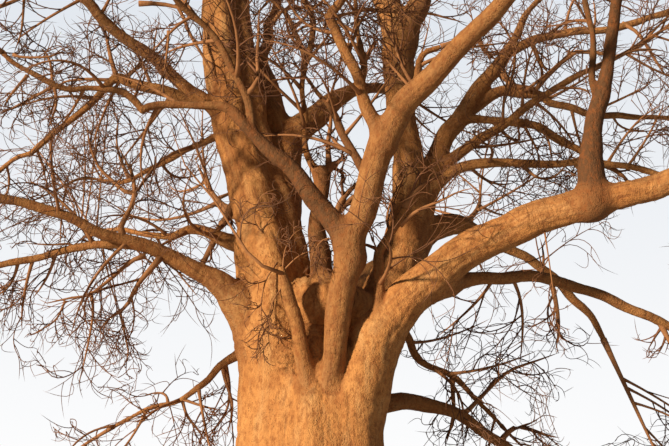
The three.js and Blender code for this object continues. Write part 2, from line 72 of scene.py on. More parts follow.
# Each bough's girths are diameters in metres, spread evenly from foot to tip, and it passes these places.
BOUGHS = {
    "left_leader": (
        [1.2, 1.27, 1.14, 1.04, 0.98, 0.85],
        [(-0.5, -0.05, 4.4), (-0.6, -0.12, 5.6), (-0.65, -0.15, 6.7), (-0.85, -0.1, 8.25), (-1.35, 0, 10),
         (-1.7, 0, 11.9), (-1.8, 0.1, 13.6)],
    ),
    "right_arm": (
        [0.9, 0.88, 0.82, 0.7, 0.62, 0.6, 0.56, 0.43, 0.42, 0.3],
        [(0.6, -0.7, 4.3), (1.05, -0.95, 5.7), (1.55, -1.1, 6.45), (2.45, -1.35, 7.2), (3.1, -1.5, 7.55),
         (3.75, -1.7, 7.8), (4.4, -1.9, 8), (5.1, -2.1, 8.1), (6.05, -2.4, 8.3), (7.3, -3, 8.6)],
    ),
    "front_arm": (
        [0.36, 0.38, 0.46, 0.5, 0.47, 0.49, 0.48, 0.41, 0.35, 0.32, 0.25, 0.21, 0.18],
        [(0.36, -0.95, 4.8), (0.38, -1.3, 5.5), (0.5, -1.48, 6.4), (0.6, -1.55, 7), (0.7, -1.6, 7.5),
         (0.9, -1.7, 8.05), (1.12, -1.85, 8.85), (1.3, -2, 9.3), (1.6, -2.1, 9.8), (2, -2.4, 10.15),
         (2.95, -3.2, 10.9), (3.5, -3.8, 11.25), (4.6, -4.6, 12.1)],
    ),
    "right_leader": (
        [1, 0.96, 0.9, 0.8, 0.6, 0.42, 0.37, 0.35, 0.22, 0.15, 0.1],
        [(0.7, 0.45, 5.5), (1.35, 0.65, 7), (1.85, 0.9, 8.35), (2.5, 1.15, 10.2), (2.9, 1.3, 10.9),
         (3.45, 1.45, 11.75), (3.75, 1.5, 12.15), (3.95, 1.55, 12.45), (4.2, 1.65, 12.85),
         (4.5, 1.8, 13.55), (4.95, 2.1, 14.2)],
    ),
    "back_left_arm": (
        [0.85, 0.7, 0.5, 0.36, 0.22],
        [(-0.35, 0.65, 5.3), (-0.6, 1.9, 7.4), (-1.2, 4, 9.3), (-2.2, 6.2, 10.6)],
    ),
    "back_right_arm": (
        [0.75, 0.6, 0.46, 0.32, 0.2],
        [(0.35, 0.85, 5.1), (0.9, 2.4, 7.4), (1.9, 4.4, 9.2), (3.3, 6.2, 10.2)],
    ),
    "back_low_arm": (
        [0.5, 0.4, 0.3, 0.2],
        [(0, 1, 4.6), (-0.1, 2.4, 5.9), (-0.4, 4.4, 6.7), (-0.3, 6.4, 7)],
    ),
    "front_stub": (
        [0.28, 0.29, 0.3, 0.28, 0.25, 0.24, 0.26, 0.1],
        [(0, -0.95, 4.6), (-0.06, -1.08, 5.1), (-0.14, -1.15, 5.6), (-0.28, -1.2, 6.15), (-0.42, -1.3, 6.65),
         (-0.5, -1.4, 6.95), (-0.52, -1.42, 7.08)],
    ),
    "knob_limb": (
        [0.42, 0.42, 0.38, 0.31, 0.24, 0.31],
        [(0.16, -0.15, 6.6), (0.15, -0.38, 7.1), (0.14, -0.5, 7.5), (0.08, -0.57, 8.1), (0.16, -0.6, 8.75),
         (0.22, -0.65, 9.2)],
    ),
    "left_low_arm": (
        [0.8, 0.6, 0.34, 0.27, 0.21, 0.18, 0.17, 0.17, 0.15, 0.12],
        [(-0.85, -0.15, 6.3), (-1.4, -0.4, 6.8), (-1.65, -0.5, 7), (-2.05, -0.6, 7.2), (-2.7, -0.9, 7.5),
         (-3.75, -1.3, 7.75), (-4.4, -1.55, 8), (-5.05, -1.7, 8.17), (-5.6, -1.85, 8.2), (-6.7, -2.3, 8.3)],
    ),
    "left_low_fork": (
        [0.18, 0.14, 0.13, 0.12, 0.1],
        [(-3, -1.05, 7.58), (-3.8, -0.95, 7.63), (-4.05, -0.9, 7.6), (-4.9, -0.75, 7.45),
         (-5.65, -0.65, 7.3), (-6.6, -0.6, 7.05)],
    ),
    "left_high_arm": (
        [0.36, 0.29, 0.24, 0.22, 0.21, 0.2, 0.17, 0.14, 0.12],
        [(-1.45, 0, 10.2), (-1.7, 0, 10.45), (-2, -0.15, 10.65), (-2.4, -0.3, 10.9), (-2.85, -0.45, 11.3),
         (-3.3, -0.65, 11.6), (-3.85, -0.85, 11.95), (-4.1, -1, 12.15), (-4.3, -1.1, 12.4),
         (-5.1, -1.6, 13), (-6.1, -2, 13.5)],
    ),
    "left_bent_arm": (
        [0.32, 0.24, 0.23, 0.21, 0.16, 0.13, 0.12, 0.1, 0.08],
        [(-1.5, 0.2, 10.6), (-1.75, 0.2, 10.75), (-2.55, 0.3, 11), (-3.1, 0.35, 11.2), (-3.7, 0.4, 11.4),
         (-3.92, 0.45, 11.5), (-4.1, 0.5, 11.4), (-4.5, 0.6, 11), (-5, 0.7, 10.57), (-5.45, 0.8, 10.25),
         (-5.67, 0.85, 10.05), (-5.95, 0.9, 9.95), (-6.4, 1, 9.65)],
    ),
    "left_back_arm": (
        [0.5, 0.32, 0.21, 0.16, 0.11, 0.1, 0.08],
        [(-0.9, 0.2, 7.7), (-1.2, 0.25, 7.9), (-1.6, 0.45, 8.1), (-2, 0.6, 8.3), (-2.4, 0.85, 8.45),
         (-2.8, 1.05, 8.4), (-3.3, 1.4, 8.5), (-3.85, 1.8, 8.75), (-4.2, 2.3, 8.9)],
    ),
    "left_lowest_arm": (
        [0.3, 0.17, 0.12, 0.09, 0.08, 0.06],
        [(-0.9, 0.3, 5.8), (-1.17, 0.4, 6), (-1.4, 0.55, 5.93), (-1.75, 0.75, 5.75), (-2.05, 0.95, 5.45),
         (-2.6, 1.25, 5.17), (-3.35, 1.6, 5), (-4, 1.9, 4.7)],
    ),
    "inner_leader": (
        [0.95, 0.85, 0.66, 0.42, 0.24, 0.2, 0.15],
        [(-0.75, 0.15, 8.3), (-0.6, 0.4, 9.8), (-0.85, 0.55, 11), (-1.05, 0.9, 12.2), (-0.8, 1.6, 14)],
    ),
    "inner_bow": (
        [0.59, 0.54, 0.43, 0.28, 0.23, 0.22, 0.2],
        [(-0.55, 0.4, 10), (-0.28, 0.5, 10.45), (0.13, 0.6, 10.8), (0.5, 0.8, 11.25), (0.88, 1.1, 11.55),
         (1.37, 2, 11.98), (1.6, 2.6, 12.2)],
    ),
    "leader_left_fork": (
        [0.66, 0.5, 0.36, 0.24],
        [(-1.75, 0.1, 13.2), (-2.2, 0.2, 14.7), (-2.9, 0.6, 16.2)],
    ),
    "leader_right_fork": (
        [0.62, 0.46, 0.34, 0.22],
        [(-1.75, 0.1, 13.2), (-1.4, -0.2, 14.8), (-0.8, -0.4, 16.3)],
    ),
    "cross_arm": (
        [0.44, 0.39, 0.33, 0.28, 0.23, 0.18],
        [(0.72, -1.5, 7.2), (0.53, -1.6, 7.6), (0.15, -1.7, 8.1), (-0.38, -1.84, 8.75), (-0.78, -1.93, 9.1),
         (-1.2, -2.03, 9.5), (-1.36, -2.05, 9.7)],
    ),
    "cross_arm_reach": (
        [0.18, 0.13, 0.14, 0.1, 0.1, 0.07],
        [(-1.25, -2.03, 9.6), (-1.55, -2.07, 9.8), (-2.2, -2.1, 9.83), (-2.8, -2.13, 9.78),
         (-2.94, -2.14, 9.71), (-3.07, -2.15, 9.88), (-3.37, -2.2, 10.05), (-3.92, -2.3, 10.04),
         (-4.21, -2.35, 10.02), (-4.64, -2.45, 10.16), (-5.05, -2.55, 10.35), (-5.43, -2.7, 10.65)],
    ),
    "cross_arm_riser": (
        [0.16, 0.13, 0.11, 0.1, 0.08],
        [(-1.04, -2, 9.4), (-1.11, -2.05, 9.86), (-1.31, -2.15, 10.3), (-1.56, -2.25, 10.8),
         (-1.95, -2.4, 11.26), (-2.44, -2.7, 11.66), (-3, -3.3, 12.4)],
    ),
    "front_fork": (
        [0.32, 0.24, 0.19, 0.18, 0.16, 0.13, 0.11],
        [(1.3, -1.98, 9.1), (1.12, -2.02, 9.46), (0.95, -2.07, 9.85), (0.8, -2.15, 10.33),
         (0.67, -2.22, 10.6), (0.53, -2.3, 10.9), (0.42, -2.4, 11.15), (0.32, -2.45, 11.3),
         (0.36, -2.5, 11.45), (0.53, -2.7, 11.62), (0.75, -3.1, 12.5)],
    ),
    "right_riser": (
        [0.55, 0.46, 0.33, 0.3, 0.22, 0.21, 0.2, 0.17, 0.14],
        [(4.8, -2.05, 8), (4.82, -2.05, 8.4), (4.84, -2.05, 8.85), (4.89, -2.06, 9.4), (5.02, -2.08, 9.8),
         (5.1, -2.1, 10), (5.16, -2.12, 10.3), (5.24, -2.2, 10.75), (5.32, -2.4, 11.2), (5.34, -2.65, 11.7),
         (5.6, -3, 13)],
    ),
    "right_low_arm": (
        [0.36, 0.24, 0.22, 0.2, 0.19, 0.18, 0.13],
        [(2.1, -1.15, 6.7), (2.46, -1.1, 6.8), (2.65, -1, 6.93), (3.4, -0.6, 7.1), (4.15, -0.25, 7.2),
         (4.95, 0, 7.05), (5.7, 0.1, 6.78), (6.6, 0.2, 6.37), (6.95, 0.3, 6.2)],
    ),
    "back_leader": (
        [0.72, 0.62, 0.6, 0.66, 0.6, 0.44, 0.3],
        [(1.8, 0.85, 8.4), (1.88, 0.85, 9.7), (1.75, 0.9, 11), (1.68, 1, 12.8), (1.35, 1.2, 14),
         (0.9, 1.5, 15.3)],
    ),
    "back_leader_fork": (
        [0.56, 0.5, 0.38, 0.24],
        [(1.72, 0.95, 12.2), (2, 1, 13), (2.35, 1.1, 14.1), (3, 1.3, 15.4)],
    ),
    "right_high_arm": (
        [0.26, 0.2, 0.17, 0.15, 0.15, 0.13],
        [(3.75, 1.55, 12.15), (3.95, 1.57, 12.45), (4.1, 1.6, 12.62), (4.62, 1.57, 12.87),
         (5.26, 1.52, 13.04), (6.12, 1.45, 13.07), (6.7, 1.4, 13.2), (7.6, 1.3, 13.45)],
    ),
    "right_cross_arm": (
        [0.3, 0.22, 0.18, 0.15, 0.13, 0.11],
        [(2.25, 1.1, 9.6), (2.7, 1, 9.96), (3.15, 0.95, 10.26), (3.85, 0.85, 10.7), (4.52, 0.8, 11.2),
         (5.17, 0.75, 11.6), (5.8, 0.7, 11.9)],
    ),
    "right_level_arm": (
        [0.3, 0.22, 0.17, 0.15, 0.13, 0.11],
        [(2, 1, 9.05), (2.3, 0.95, 9.3), (2.7, 0.9, 9.63), (3.17, 0.85, 9.83), (3.84, 0.75, 9.8),
         (4.64, 0.65, 9.75), (5.8, 0.5, 9.7), (7, 0.4, 9.35)],
    ),
    "right_back_arm": (
        [0.5, 0.54, 0.49, 0.34, 0.21, 0.18, 0.19, 0.16, 0.1],
        [(1.6, 0.9, 7.4), (2.05, 1.1, 8.2), (2.25, 1.2, 8.5), (2.5, 1.3, 8.67), (2.97, 1.5, 8.73),
         (3.47, 1.7, 8.54), (4, 1.9, 8.34), (4.4, 2.05, 8.17), (4.82, 2.2, 7.92), (5.23, 2.35, 7.5),
         (5.7, 2.5, 7.05), (5.95, 2.55, 6.5)],
    ),
    "right_lowest_arm": (
        [0.42, 0.33, 0.25, 0.2, 0.2, 0.16],
        [(0.95, 0.45, 5), (1.2, 0.55, 5), (1.42, 0.6, 5.02), (1.8, 0.7, 5.06), (2.55, 0.95, 4.94),
         (3.25, 1.25, 4.56), (3.6, 1.4, 4.36), (4, 1.7, 4.1)],
    ),
}

# Thinner limbs that have no solid of their own, in the same way.
THIN_LIMBS = {
    "thin_right": (
        [0.2, 0.16, 0.13, 0.11, 0.09, 0.07],
        [(1.2, 0.6, 6.6), (1.7, 0.75, 6.4), (1.9, 0.9, 6.05), (2.1, 1, 5.85), (2.6, 1.2, 5.65),
         (2.9, 1.35, 5.45), (3.2, 1.45, 5.15), (3.6, 1.6, 4.75)],
    ),
    "thin_left": (
        [0.2, 0.13, 0.12, 0.1, 0.08, 0.06, 0.05],
        [(-1.45, 0.2, 10.2), (-1.8, 0.2, 10.2), (-2.25, 0.5, 10.1), (-2.8, 0.9, 10), (-3.33, 1.25, 9.85),
         (-3.8, 1.5, 9.7), (-4.2, 1.65, 9.75), (-4.85, 1.7, 9.8), (-5.3, 1.75, 9.6)],
    ),
    "riser_thin": (
        [0.18, 0.12, 0.11, 0.1, 0.1, 0.08],
        [(5.02, -2.07, 9.75), (5.03, -2.05, 9.95), (4.97, -2.02, 10.3), (5, -2, 10.85), (5.02, -1.98, 11.4),
         (4.95, -1.9, 12), (4.9, -1.85, 12.3), (4.8, -1.8, 12.9)],
    ),
    "knob_shoot": (
        [0.16, 0.12, 0.11, 0.1, 0.11, 0.12, 0.1, 0.09, 0.07],
        [(0.1, -0.62, 8.9), (0.02, -0.65, 9.15), (-0.07, -0.6, 9.35), (-0.13, -0.55, 9.6),
         (-0.16, -0.45, 10.2), (-0.22, -0.28, 11), (-0.19, -0.2, 11.55), (-0.28, -0.1, 12),
         (-0.45, 0, 12.45), (-0.67, 0.1, 12.85), (-1.07, 0.2, 13.3)],
    ),
    "knob_shoot_fork": (
        [0.12, 0.13, 0.12, 0.1],
        [(-0.2, -0.2, 11.45), (-0.05, -0.15, 11.9), (0, -0.1, 12.15), (-0.1, 0, 12.7), (-0.3, 0.1, 13.25)],
    ),
    "right_leader_reach": (
        [0.3, 0.24, 0.22, 0.17, 0.15, 0.14, 0.12, 0.09],
        [(3.05, 1.38, 11.1), (3.55, 1.5, 11.5), (3.93, 1.55, 11.7), (4.3, 1.6, 11.7), (4.72, 1.65, 11.65),
         (4.92, 1.7, 11.5), (5.35, 1.75, 11.43), (5.92, 1.8, 11.25), (6.5, 1.8, 11.25), (7.4, 1.8, 11.2)],
    ),
    "right_leader_droop": (
        [0.24, 0.16, 0.17, 0.17, 0.15, 0.12],
        [(2.85, 1.32, 10.8), (3.1, 1.3, 10.95), (3.5, 1.2, 10.92), (3.95, 1.15, 10.85), (4.5, 1.05, 10.7),
         (4.87, 1, 10.45), (5.25, 0.9, 10.15), (5.75, 0.8, 9.8)],
    ),
    "arm_stub": (
        [0.24, 0.18, 0.18, 0.17, 0.14, 0.14],
        [(1.15, -1.2, 6.3), (1.17, -1.3, 6.6), (1.17, -1.3, 6.9), (1.17, -1.3, 7.35), (1.3, -1.32, 7.55),
         (1.57, -1.36, 8), (1.64, -1.38, 8.15)],
    ),
    "dark_limb": (
        [0.18, 0.16, 0.15, 0.14, 0.09, 0.06],
        [(1.05, -1.2, 8.7), (0.97, -1.2, 8.85), (0.82, -1.15, 9.13), (0.6, -1.05, 9.6), (0.42, -0.95, 10.08),
         (0.24, -0.9, 10.36), (-0.06, -0.75, 10.86)],
    ),
    "front_fork_riser": (
        [0.15, 0.12, 0.1, 0.08, 0.07],
        [(0.85, -2.12, 10.1), (0.87, -2.1, 10.2), (0.92, -2, 10.6), (0.85, -1.9, 11.1), (0.8, -1.8, 11.7),
         (0.76, -1.7, 12.3)],
    ),
    "front_arm_stub": (
        [0.15, 0.13, 0.12, 0.08],
        [(1.7, -2.2, 9.85), (1.74, -2.2, 10), (1.88, -2.2, 10.45), (2, -2.25, 10.73), (2.27, -2.3, 10.85)],
    ),
}

# Lobes of the trunk, so that the boughs grow out of it: one runs down under each large bough, one lies at
# its front, and the saddle joins its two leaders.
LOBES = {
    "lobe_right_arm": (
        [1.5, 1.44, 1.36, 1.26, 1.1, 0.9],
        [(0.64, -0.58, 0.3), (0.62, -0.62, 1.8), (0.61, -0.66, 3.2), (0.64, -0.74, 4.3), (0.82, -0.85, 5.15),
         (1.05, -0.95, 5.75)],
    ),
    "lobe_left_leader": (
        [1.9, 1.66, 1.4, 1.34, 1.28, 1.16],
        [(-0.6, -0.1, 0.8), (-0.58, -0.12, 2.4), (-0.56, -0.15, 4), (-0.6, -0.15, 5.4), (-0.67, -0.15, 6.6),
         (-0.78, -0.12, 7.6)],
    ),
    "lobe_left_arm": (
        [0.66, 0.74, 0.8, 0.66],
        [(-0.84, -0.1, 4.6), (-0.92, -0.12, 5.6), (-1.02, -0.18, 6.2), (-1.25, -0.32, 6.65)],
    ),
    "lobe_right_leader": (
        [1.36, 1.24, 1.06],
        [(0.55, 0.5, 2.5), (0.55, 0.48, 4.4), (0.75, 0.48, 5.8)],
    ),
    "lobe_front": (
        [1.54, 1.52, 1.48, 1.36],
        [(0.22, -0.45, 1.2), (0.24, -0.48, 3), (0.26, -0.52, 4.2), (0.26, -0.52, 4.9)],
    ),
    "lobe_saddle": (
        [0.8, 0.9, 0.9, 0.8, 0.7],
        [(-0.6, -0.15, 6.1), (-0.25, -0.42, 6.5), (0.12, -0.5, 6.7), (0.5, -0.25, 6.75), (0.85, 0.25, 6.65)],
    ),
}

TRUNK_HEIGHTS = [0, 0.25, 0.6, 1.1, 1.8, 2.7, 3.6, 4.5, 5.2, 5.8, 6.2, 6.45, 6.6]
TRUNK_RADII = [2.2, 1.94, 1.76, 1.63, 1.53, 1.45, 1.36, 1.24, 1.14, 0.96, 0.66, 0.34, 0]
TRUNK_EASE = 0.3  # metres of height over which a change of its taper is eased
# Lobes round the trunk: how many, the bearing of one in radians, their swell as a share of the radius, and
# how much more they swell at the ground.
TRUNK_LOBES = [(3, 0.35, 0.03, 0.02), (5, 1.1, 0.025, 0.05), (8, 0.2, 0.008, 0.06)]
TRUNK_FLAT = (-2.0, 0.55, 0.04)  # the flatter front: its bearing and half width in radians, and its depth
FLARE_HEIGHT = 0.8  # metres of height over which what they swell at the ground falls to a third
TRUNK_LEAN = -0.01  # metres to the right for each metre of height
TRUNK_RINGS = 70
TRUNK_SIDES = 64
TRUNK_SPACE = 7.4  # metres: points above this height lie clear of the trunk
TRUNK_BREADTH = 1.4  # metres: the trunk's radius where only its rough size matters
PROBE = 0.01  # metres between two points that a slope is measured with
LIMB_SIDES = 16
SKIN_STEP = 0.035  # metres between the skin's points
SPACING = 0.12  # metres between the points of a limb's path
PATH_STEPS = 40  # steps between two places before the path's points are spread evenly

# How far a limb strays from its path in metres, with few places and with many, and over which length at
# each end that eases to nothing. Its waves are in radians for each metre: across it, beside it, and in its
# girth, which grows and shrinks by so many metres and by that share.
FEW_PLACES = 6
STRAY_FEW = 0.035
STRAY_MANY = 0.014
STRAY_EASE = 0.5
WAVE_ACROSS = 4.9
WAVE_BESIDE = 7.3
GIRTH_WAVE = 6.1
GIRTH_RIPPLE = 14
GIRTH_METRES = 0.003
GIRTH_SHARE = 0.006

# The bough that each lobe runs into.
CARRIES = {"lobe_right_arm": "right_arm", "lobe_left_leader": "left_leader", "lobe_saddle": "left_leader",
           "lobe_left_arm": "left_low_arm", "lobe_right_leader": "right_leader"}
# How wide the web is where a limb meets another one, as a share of the thinner one's radius there.
WEBS = {"left_low_arm": 0.6, "right_arm": 0.6, "front_arm": 0.7, "front_stub": 0.7, "knob_limb": 0.5,
        "cross_arm": 0.45, "left_leader": 0.5, "right_leader": 0.5, "lobe_right_arm": 0.35,
        "lobe_left_leader": 0.3, "lobe_front": 0.3, "lobe_saddle": 0.7, "lobe_left_arm": 0.7,
        "right_riser": 0.35, "right_lowest_arm": 0.5}
USUAL_WEB = 0.3
LEAST_WEB = 0.03  # metres


def unit(vectors):
    """Each vector divided by its length."""
    return vectors / np.maximum(np.linalg.norm(vectors, axis=-1, keepdims=True), 1e-9)


def along_path(points, run, wanted):
    """The points of a path at the wanted lengths, given how far along it each of its own points lies."""
    return np.stack([np.interp(wanted, run, points[:, axis]) for axis in range(3)], axis=1)


def limb_path(places):
    """Points along a smooth path through the places, spread evenly by length, and how far along it each
    lies: between two places it is the cubic whose slope at each is half the way between its neighbours."""
    p = np.array(places, float)
    p = np.vstack([2 * p[0] - p[1], p, 2 * p[-1] - p[-2]])
    t = np.linspace(0, 1, PATH_STEPS, endpoint=False)[:, None]
    parts = [
        0.5 * (2 * b + (c - a) * t + (2 * a - 5 * b + 4 * c - d) * t**2 + (3 * b - a - 3 * c + d) * t**3)
        for a, b, c, d in zip(p, p[1:], p[2:], p[3:])
    ]
    fine = np.vstack(parts + [p[-2:-1]])
    run = np.concatenate([[0], np.cumsum(np.linalg.norm(np.diff(fine, axis=0), axis=1))])
    even = np.linspace(0, run[-1], round(run[-1] / SPACING) + 1)
    return along_path(fine, run, even), even


def limb(girths, places, phase):
    """A limb: its path, its radius and length run at each point, and two directions across it that turn
    with it as little as they can. It strays to both sides in sine waves, more where it has few places,
    and its girth grows and shrinks in the sum of two sine waves."""
    points, run = limb_path(places)
    radii = np.interp(run / run[-1], np.linspace(0, 1, len(girths)), girths) / 2
    along = unit(np.gradient(points, axis=0))
    across = np.zeros_like(points)
    across[0] = unit(np.cross(along[0], (0.3, 0.9, 0.2)))
    for k in range(1, len(points)):
        across[k] = unit(across[k - 1] - along[k] * (across[k - 1] @ along[k]))
    beside = np.cross(along, across)
    stray = STRAY_FEW if len(places) < FEW_PLACES else STRAY_MANY
    stray = stray * np.clip(np.minimum(run, run[-1] - run) / STRAY_EASE, 0, 1)
    points = points + across * (stray * np.sin(WAVE_ACROSS * run + phase))[:, None]
    points = points + beside * (stray * np.sin(WAVE_BESIDE * run + 2 * phase))[:, None]
    wave = np.sin(GIRTH_WAVE * run + 3 * phase) + 0.6 * np.sin(GIRTH_RIPPLE * run + phase)
    radii = radii + (GIRTH_METRES + GIRTH_SHARE * radii) * wave
    return {"points": points, "run": run, "radii": radii, "along": along, "across": across, "beside": beside}


limbs = {name: limb(*rule, len(name) + 1.7 * len(rule[1]))
         for name, rule in {**BOUGHS, **THIN_LIMBS}.items()}
limbs.update({name: limb(*rule, 0) for name, rule in LOBES.items()})
limb_names = ["trunk", *limbs]
# Every limb's straight pieces of path in one list, each with what the limb has there.
pieces = {key: np.concatenate([shape[key][:-1] for shape in limbs.values()])
          for key in ("points", "radii", "across", "beside", "run")}
pieces["step"] = np.concatenate([np.diff(shape["points"], axis=0) for shape in limbs.values()])
pieces["growth"] = np.concatenate([np.diff(shape["radii"]) for shape in limbs.values()])
steps_in = [len(shape["run"]) - 1 for shape in limbs.values()]
pieces["limb"] = np.repeat(np.arange(1, len(limb_names)), steps_in)


def numbers_of(names):
    """The numbers of the named limbs in the list of all limbs, where the trunk's is 0."""
    return [limb_names.index(name) for name in names]


def for_each_limb(values, usual):
    """A value for each limb in the list, the usual one where the values give none."""
    return np.array([values.get(name, usual) for name in limb_names])


webs = for_each_limb(WEBS, USUAL_WEB)
lobe_numbers = numbers_of(LOBES)


def eased_radius(height):
    """The mean of the given radii over the ease about a height, so that no ring shows where they bend."""
    nearby = height[..., None] + np.linspace(-0.5, 0.5, 9) * TRUNK_EASE
    return np.interp(nearby, TRUNK_HEIGHTS, TRUNK_RADII).mean(axis=-1)


def trunk_radius(height, turn):
    """The trunk's radius: its radius at that height, times one plus the cosine waves of its lobes, which
    grow towards the ground, less a bell-shaped dip on its flatter front."""
    radius = eased_radius(np.asarray(height, float))
    bearing, width, flat = TRUNK_FLAT
    swell = 1.0 - flat * np.exp(-((turn - bearing) / width) ** 2)
    for count, offset, rise, flare in TRUNK_LOBES:
        grown = rise + flare * np.exp(-np.maximum(height, 0) / FLARE_HEIGHT)
        swell = swell + grown * np.cos(count * (turn - offset))
    return radius * swell


def trunk_excess(points):
    """How far a point lies outside the trunk's radius at its own height and bearing."""
    x = points[:, 0] - TRUNK_LEAN * points[:, 2]
    return np.hypot(x, points[:, 1]) - trunk_radius(points[:, 2], np.arctan2(points[:, 1], x))


def to_segments(points, index):
    """The way to each point from the nearest point on a limb's straight piece of path, how far along the
    piece that lies, and the limb's radius there."""
    way = points - pieces["points"][index]
    step = pieces["step"][index]
    share = np.clip((way * step).sum(-1) / (step**2).sum(-1), 0, 1)
    return way - share[..., None] * step, share, pieces["radii"][index] + share * pieces["growth"][index]


GRID = 1024  # cells of space each way, with the middle one at the origin
HALF_DIAGONAL = 0.87  # of a cell, as a share of its side
FAR = 99.0  # metres: further than anything lies


def nearest_two(points, cell, reach):
    """The nearest pieces of path to each point on its two nearest limbs, or -1 where there is none within
    reach. The points are taken a cell of space at a time, so that only what is near it is tried."""
    found = np.full((2, len(points)), -1)
    whole = np.floor(points / cell).astype(int) + GRID // 2
    key = (whole[:, 0] * GRID + whole[:, 1]) * GRID + whole[:, 2]
    order = np.argsort(key, kind="stable")
    everything = np.arange(len(pieces["limb"]))
    for group in np.split(order, np.nonzero(np.diff(key[order]))[0] + 1):
        middle = (whole[group[0]] - GRID // 2 + 0.5) * cell
        off, _, radius = to_segments(middle, everything)
        close = np.nonzero(np.linalg.norm(off, axis=1) - radius < reach + HALF_DIAGONAL * cell)[0]
        if not len(close):
            continue
        off, _, radius = to_segments(points[group][:, None], close)
        gap = np.sqrt((off**2).sum(2)) - radius
        first = close[np.argmin(gap, axis=1)]
        same = pieces["limb"][close] == pieces["limb"][first][:, None]
        found[0, group] = first
        found[1, group] = np.where(same.all(axis=1), -1, close[np.argmin(gap + FAR * same, axis=1)])
    return found


def from_bark(points, cell=0.5, reach=0.5):
    """For each point the trunk and its two nearest limbs, the nearest first: its distance from each one's
    surface, the direction straight away from it, its radius, and the point's place across, beside and
    along it. Also the distance from a surface that is smooth where they meet: for the second and then the
    third, less a quarter of the web's width times the square of how deep in the web the point lies."""
    count = len(points)
    # What is out of reach counts as thin and far away.
    near = {"distance": np.full((3, count), 9.0), "away": np.zeros((3, count, 3)),
            "radius": np.full((3, count), 0.1), "place": np.zeros((3, count, 3)),
            "limb": np.zeros((3, count), int)}
    for order, index in enumerate(nearest_two(points, cell, reach)):
        here = np.nonzero(index >= 0)[0]
        index = index[here]
        off, share, radius = to_segments(points[here], index)
        gap = np.sqrt((off**2).sum(1))
        across = (off * pieces["across"][index]).sum(1)
        beside = (off * pieces["beside"][index]).sum(1)
        near["distance"][order, here] = gap - radius
        near["away"][order, here] = off / np.maximum(gap, 1e-6)[:, None]
        near["radius"][order, here] = radius
        near["place"][order, here] = np.stack([across, beside, pieces["run"][index] + share * SPACING], 1)
        near["limb"][order, here] = pieces["limb"][index]
        lobes = here[np.isin(pieces["limb"][index], lobe_numbers)]
        near["place"][order, lobes] = points[lobes]
    low = np.nonzero(points[:, 2] < TRUNK_SPACE)[0]
    excess = trunk_excess(points[low])
    slope = [(trunk_excess(points[low] + PROBE * axis) - excess) / PROBE for axis in np.eye(3)]
    slope = np.stack(slope, axis=1)
    steep = np.linalg.norm(slope, axis=1)
    near["distance"][2, low] = excess / steep
    near["away"][2, low] = slope / steep[:, None]
    near["radius"][2, low] = TRUNK_BREADTH
    near["place"][2, low] = points[low]
    order = np.argsort(near["distance"], axis=0)
    near = {key: values[order, np.arange(count)] for key, values in near.items()}
    smooth, normal = near["distance"][0], near["away"][0]
    for other in (1, 2):
        first = [0, other]
        web = webs[near["limb"][first]].max(axis=0) * near["radius"][first].min(axis=0) + LEAST_WEB
        depth = np.clip(1 - (near["distance"][other] - smooth) / web, 0, 1)
        smooth = smooth - web * depth**2 / 4
        normal = unit(normal * (1 - depth / 2)[:, None] + near["away"][other] * (depth / 2)[:, None])
        if other == 1:
            near["depth"] = depth
    return {**near, "smooth": smooth, "normal": normal}


def rings_round(points, radii, across, beside, sides):
    """A ring of radius r round each point p of a path: p + r (cos u across + sin u beside)."""
    turn = np.linspace(0, 2 * np.pi, sides, endpoint=False)[:, None]
    ring = np.cos(turn) * across[..., None, :] + np.sin(turn) * beside[..., None, :]
    return points[..., None, :] + radii[..., None, None] * ring


def tube_faces(rings, sides, tip):
    """The triangles that join each ring to the next, and those that close the last one on the tip."""
    a = np.arange((rings - 1) * sides)
    b = a - a % sides + (a + 1) % sides
    i, j = np.arange(sides), (np.arange(sides) + 1) % sides
    last = (rings - 1) * sides
    walls = [np.stack([a, b, b + sides], 1), np.stack([a, b + sides, a + sides], 1)]
    return walls + [np.stack([last + i, last + j, np.full(sides, tip)], 1)]


def tube(points, radii, across, beside, sides):
    """A tube of rings round the points of a path, with its end rings closed on their middles."""
    rings = rings_round(points, radii, across, beside, sides)
    vertices = np.vstack([rings.reshape(-1, 3), points[:1], points[-1:]])
    foot = np.arange(sides)
    foot = np.stack([(foot + 1) % sides, foot, np.full(sides, len(vertices) - 2)], 1)
    return vertices, np.concatenate(tube_faces(len(points), sides, len(vertices) - 1) + [foot])


def rough_trunk():
    """The trunk as a tube whose rings take the trunk's radius at their height and bearing."""
    height = np.linspace(0, TRUNK_HEIGHTS[-1], TRUNK_RINGS)
    turn = np.linspace(0, 2 * np.pi, TRUNK_SIDES, endpoint=False)
    spine = np.stack([TRUNK_LEAN * height, 0 * height, height], 1)
    radius = trunk_radius(height[:, None], turn[None])
    across, beside = np.tile((1.0, 0, 0), (TRUNK_RINGS, 1)), np.tile((0, 1.0, 0), (TRUNK_RINGS, 1))
    vertices, faces = tube(spine, np.ones(TRUNK_RINGS), across, beside, TRUNK_SIDES)
    rings = vertices[:-2].reshape(TRUNK_RINGS, TRUNK_SIDES, 3)
    rings[:] = spine[:, None] + (rings - spine[:, None]) * radius[:, :, None]
    return np.vstack([rings.reshape(-1, 3), vertices[-2:]]), faces


def rough_limb(shape):
    """A limb as a tube round its path."""
    return tube(shape["points"], shape["radii"], shape["across"], shape["beside"], LIMB_SIDES)


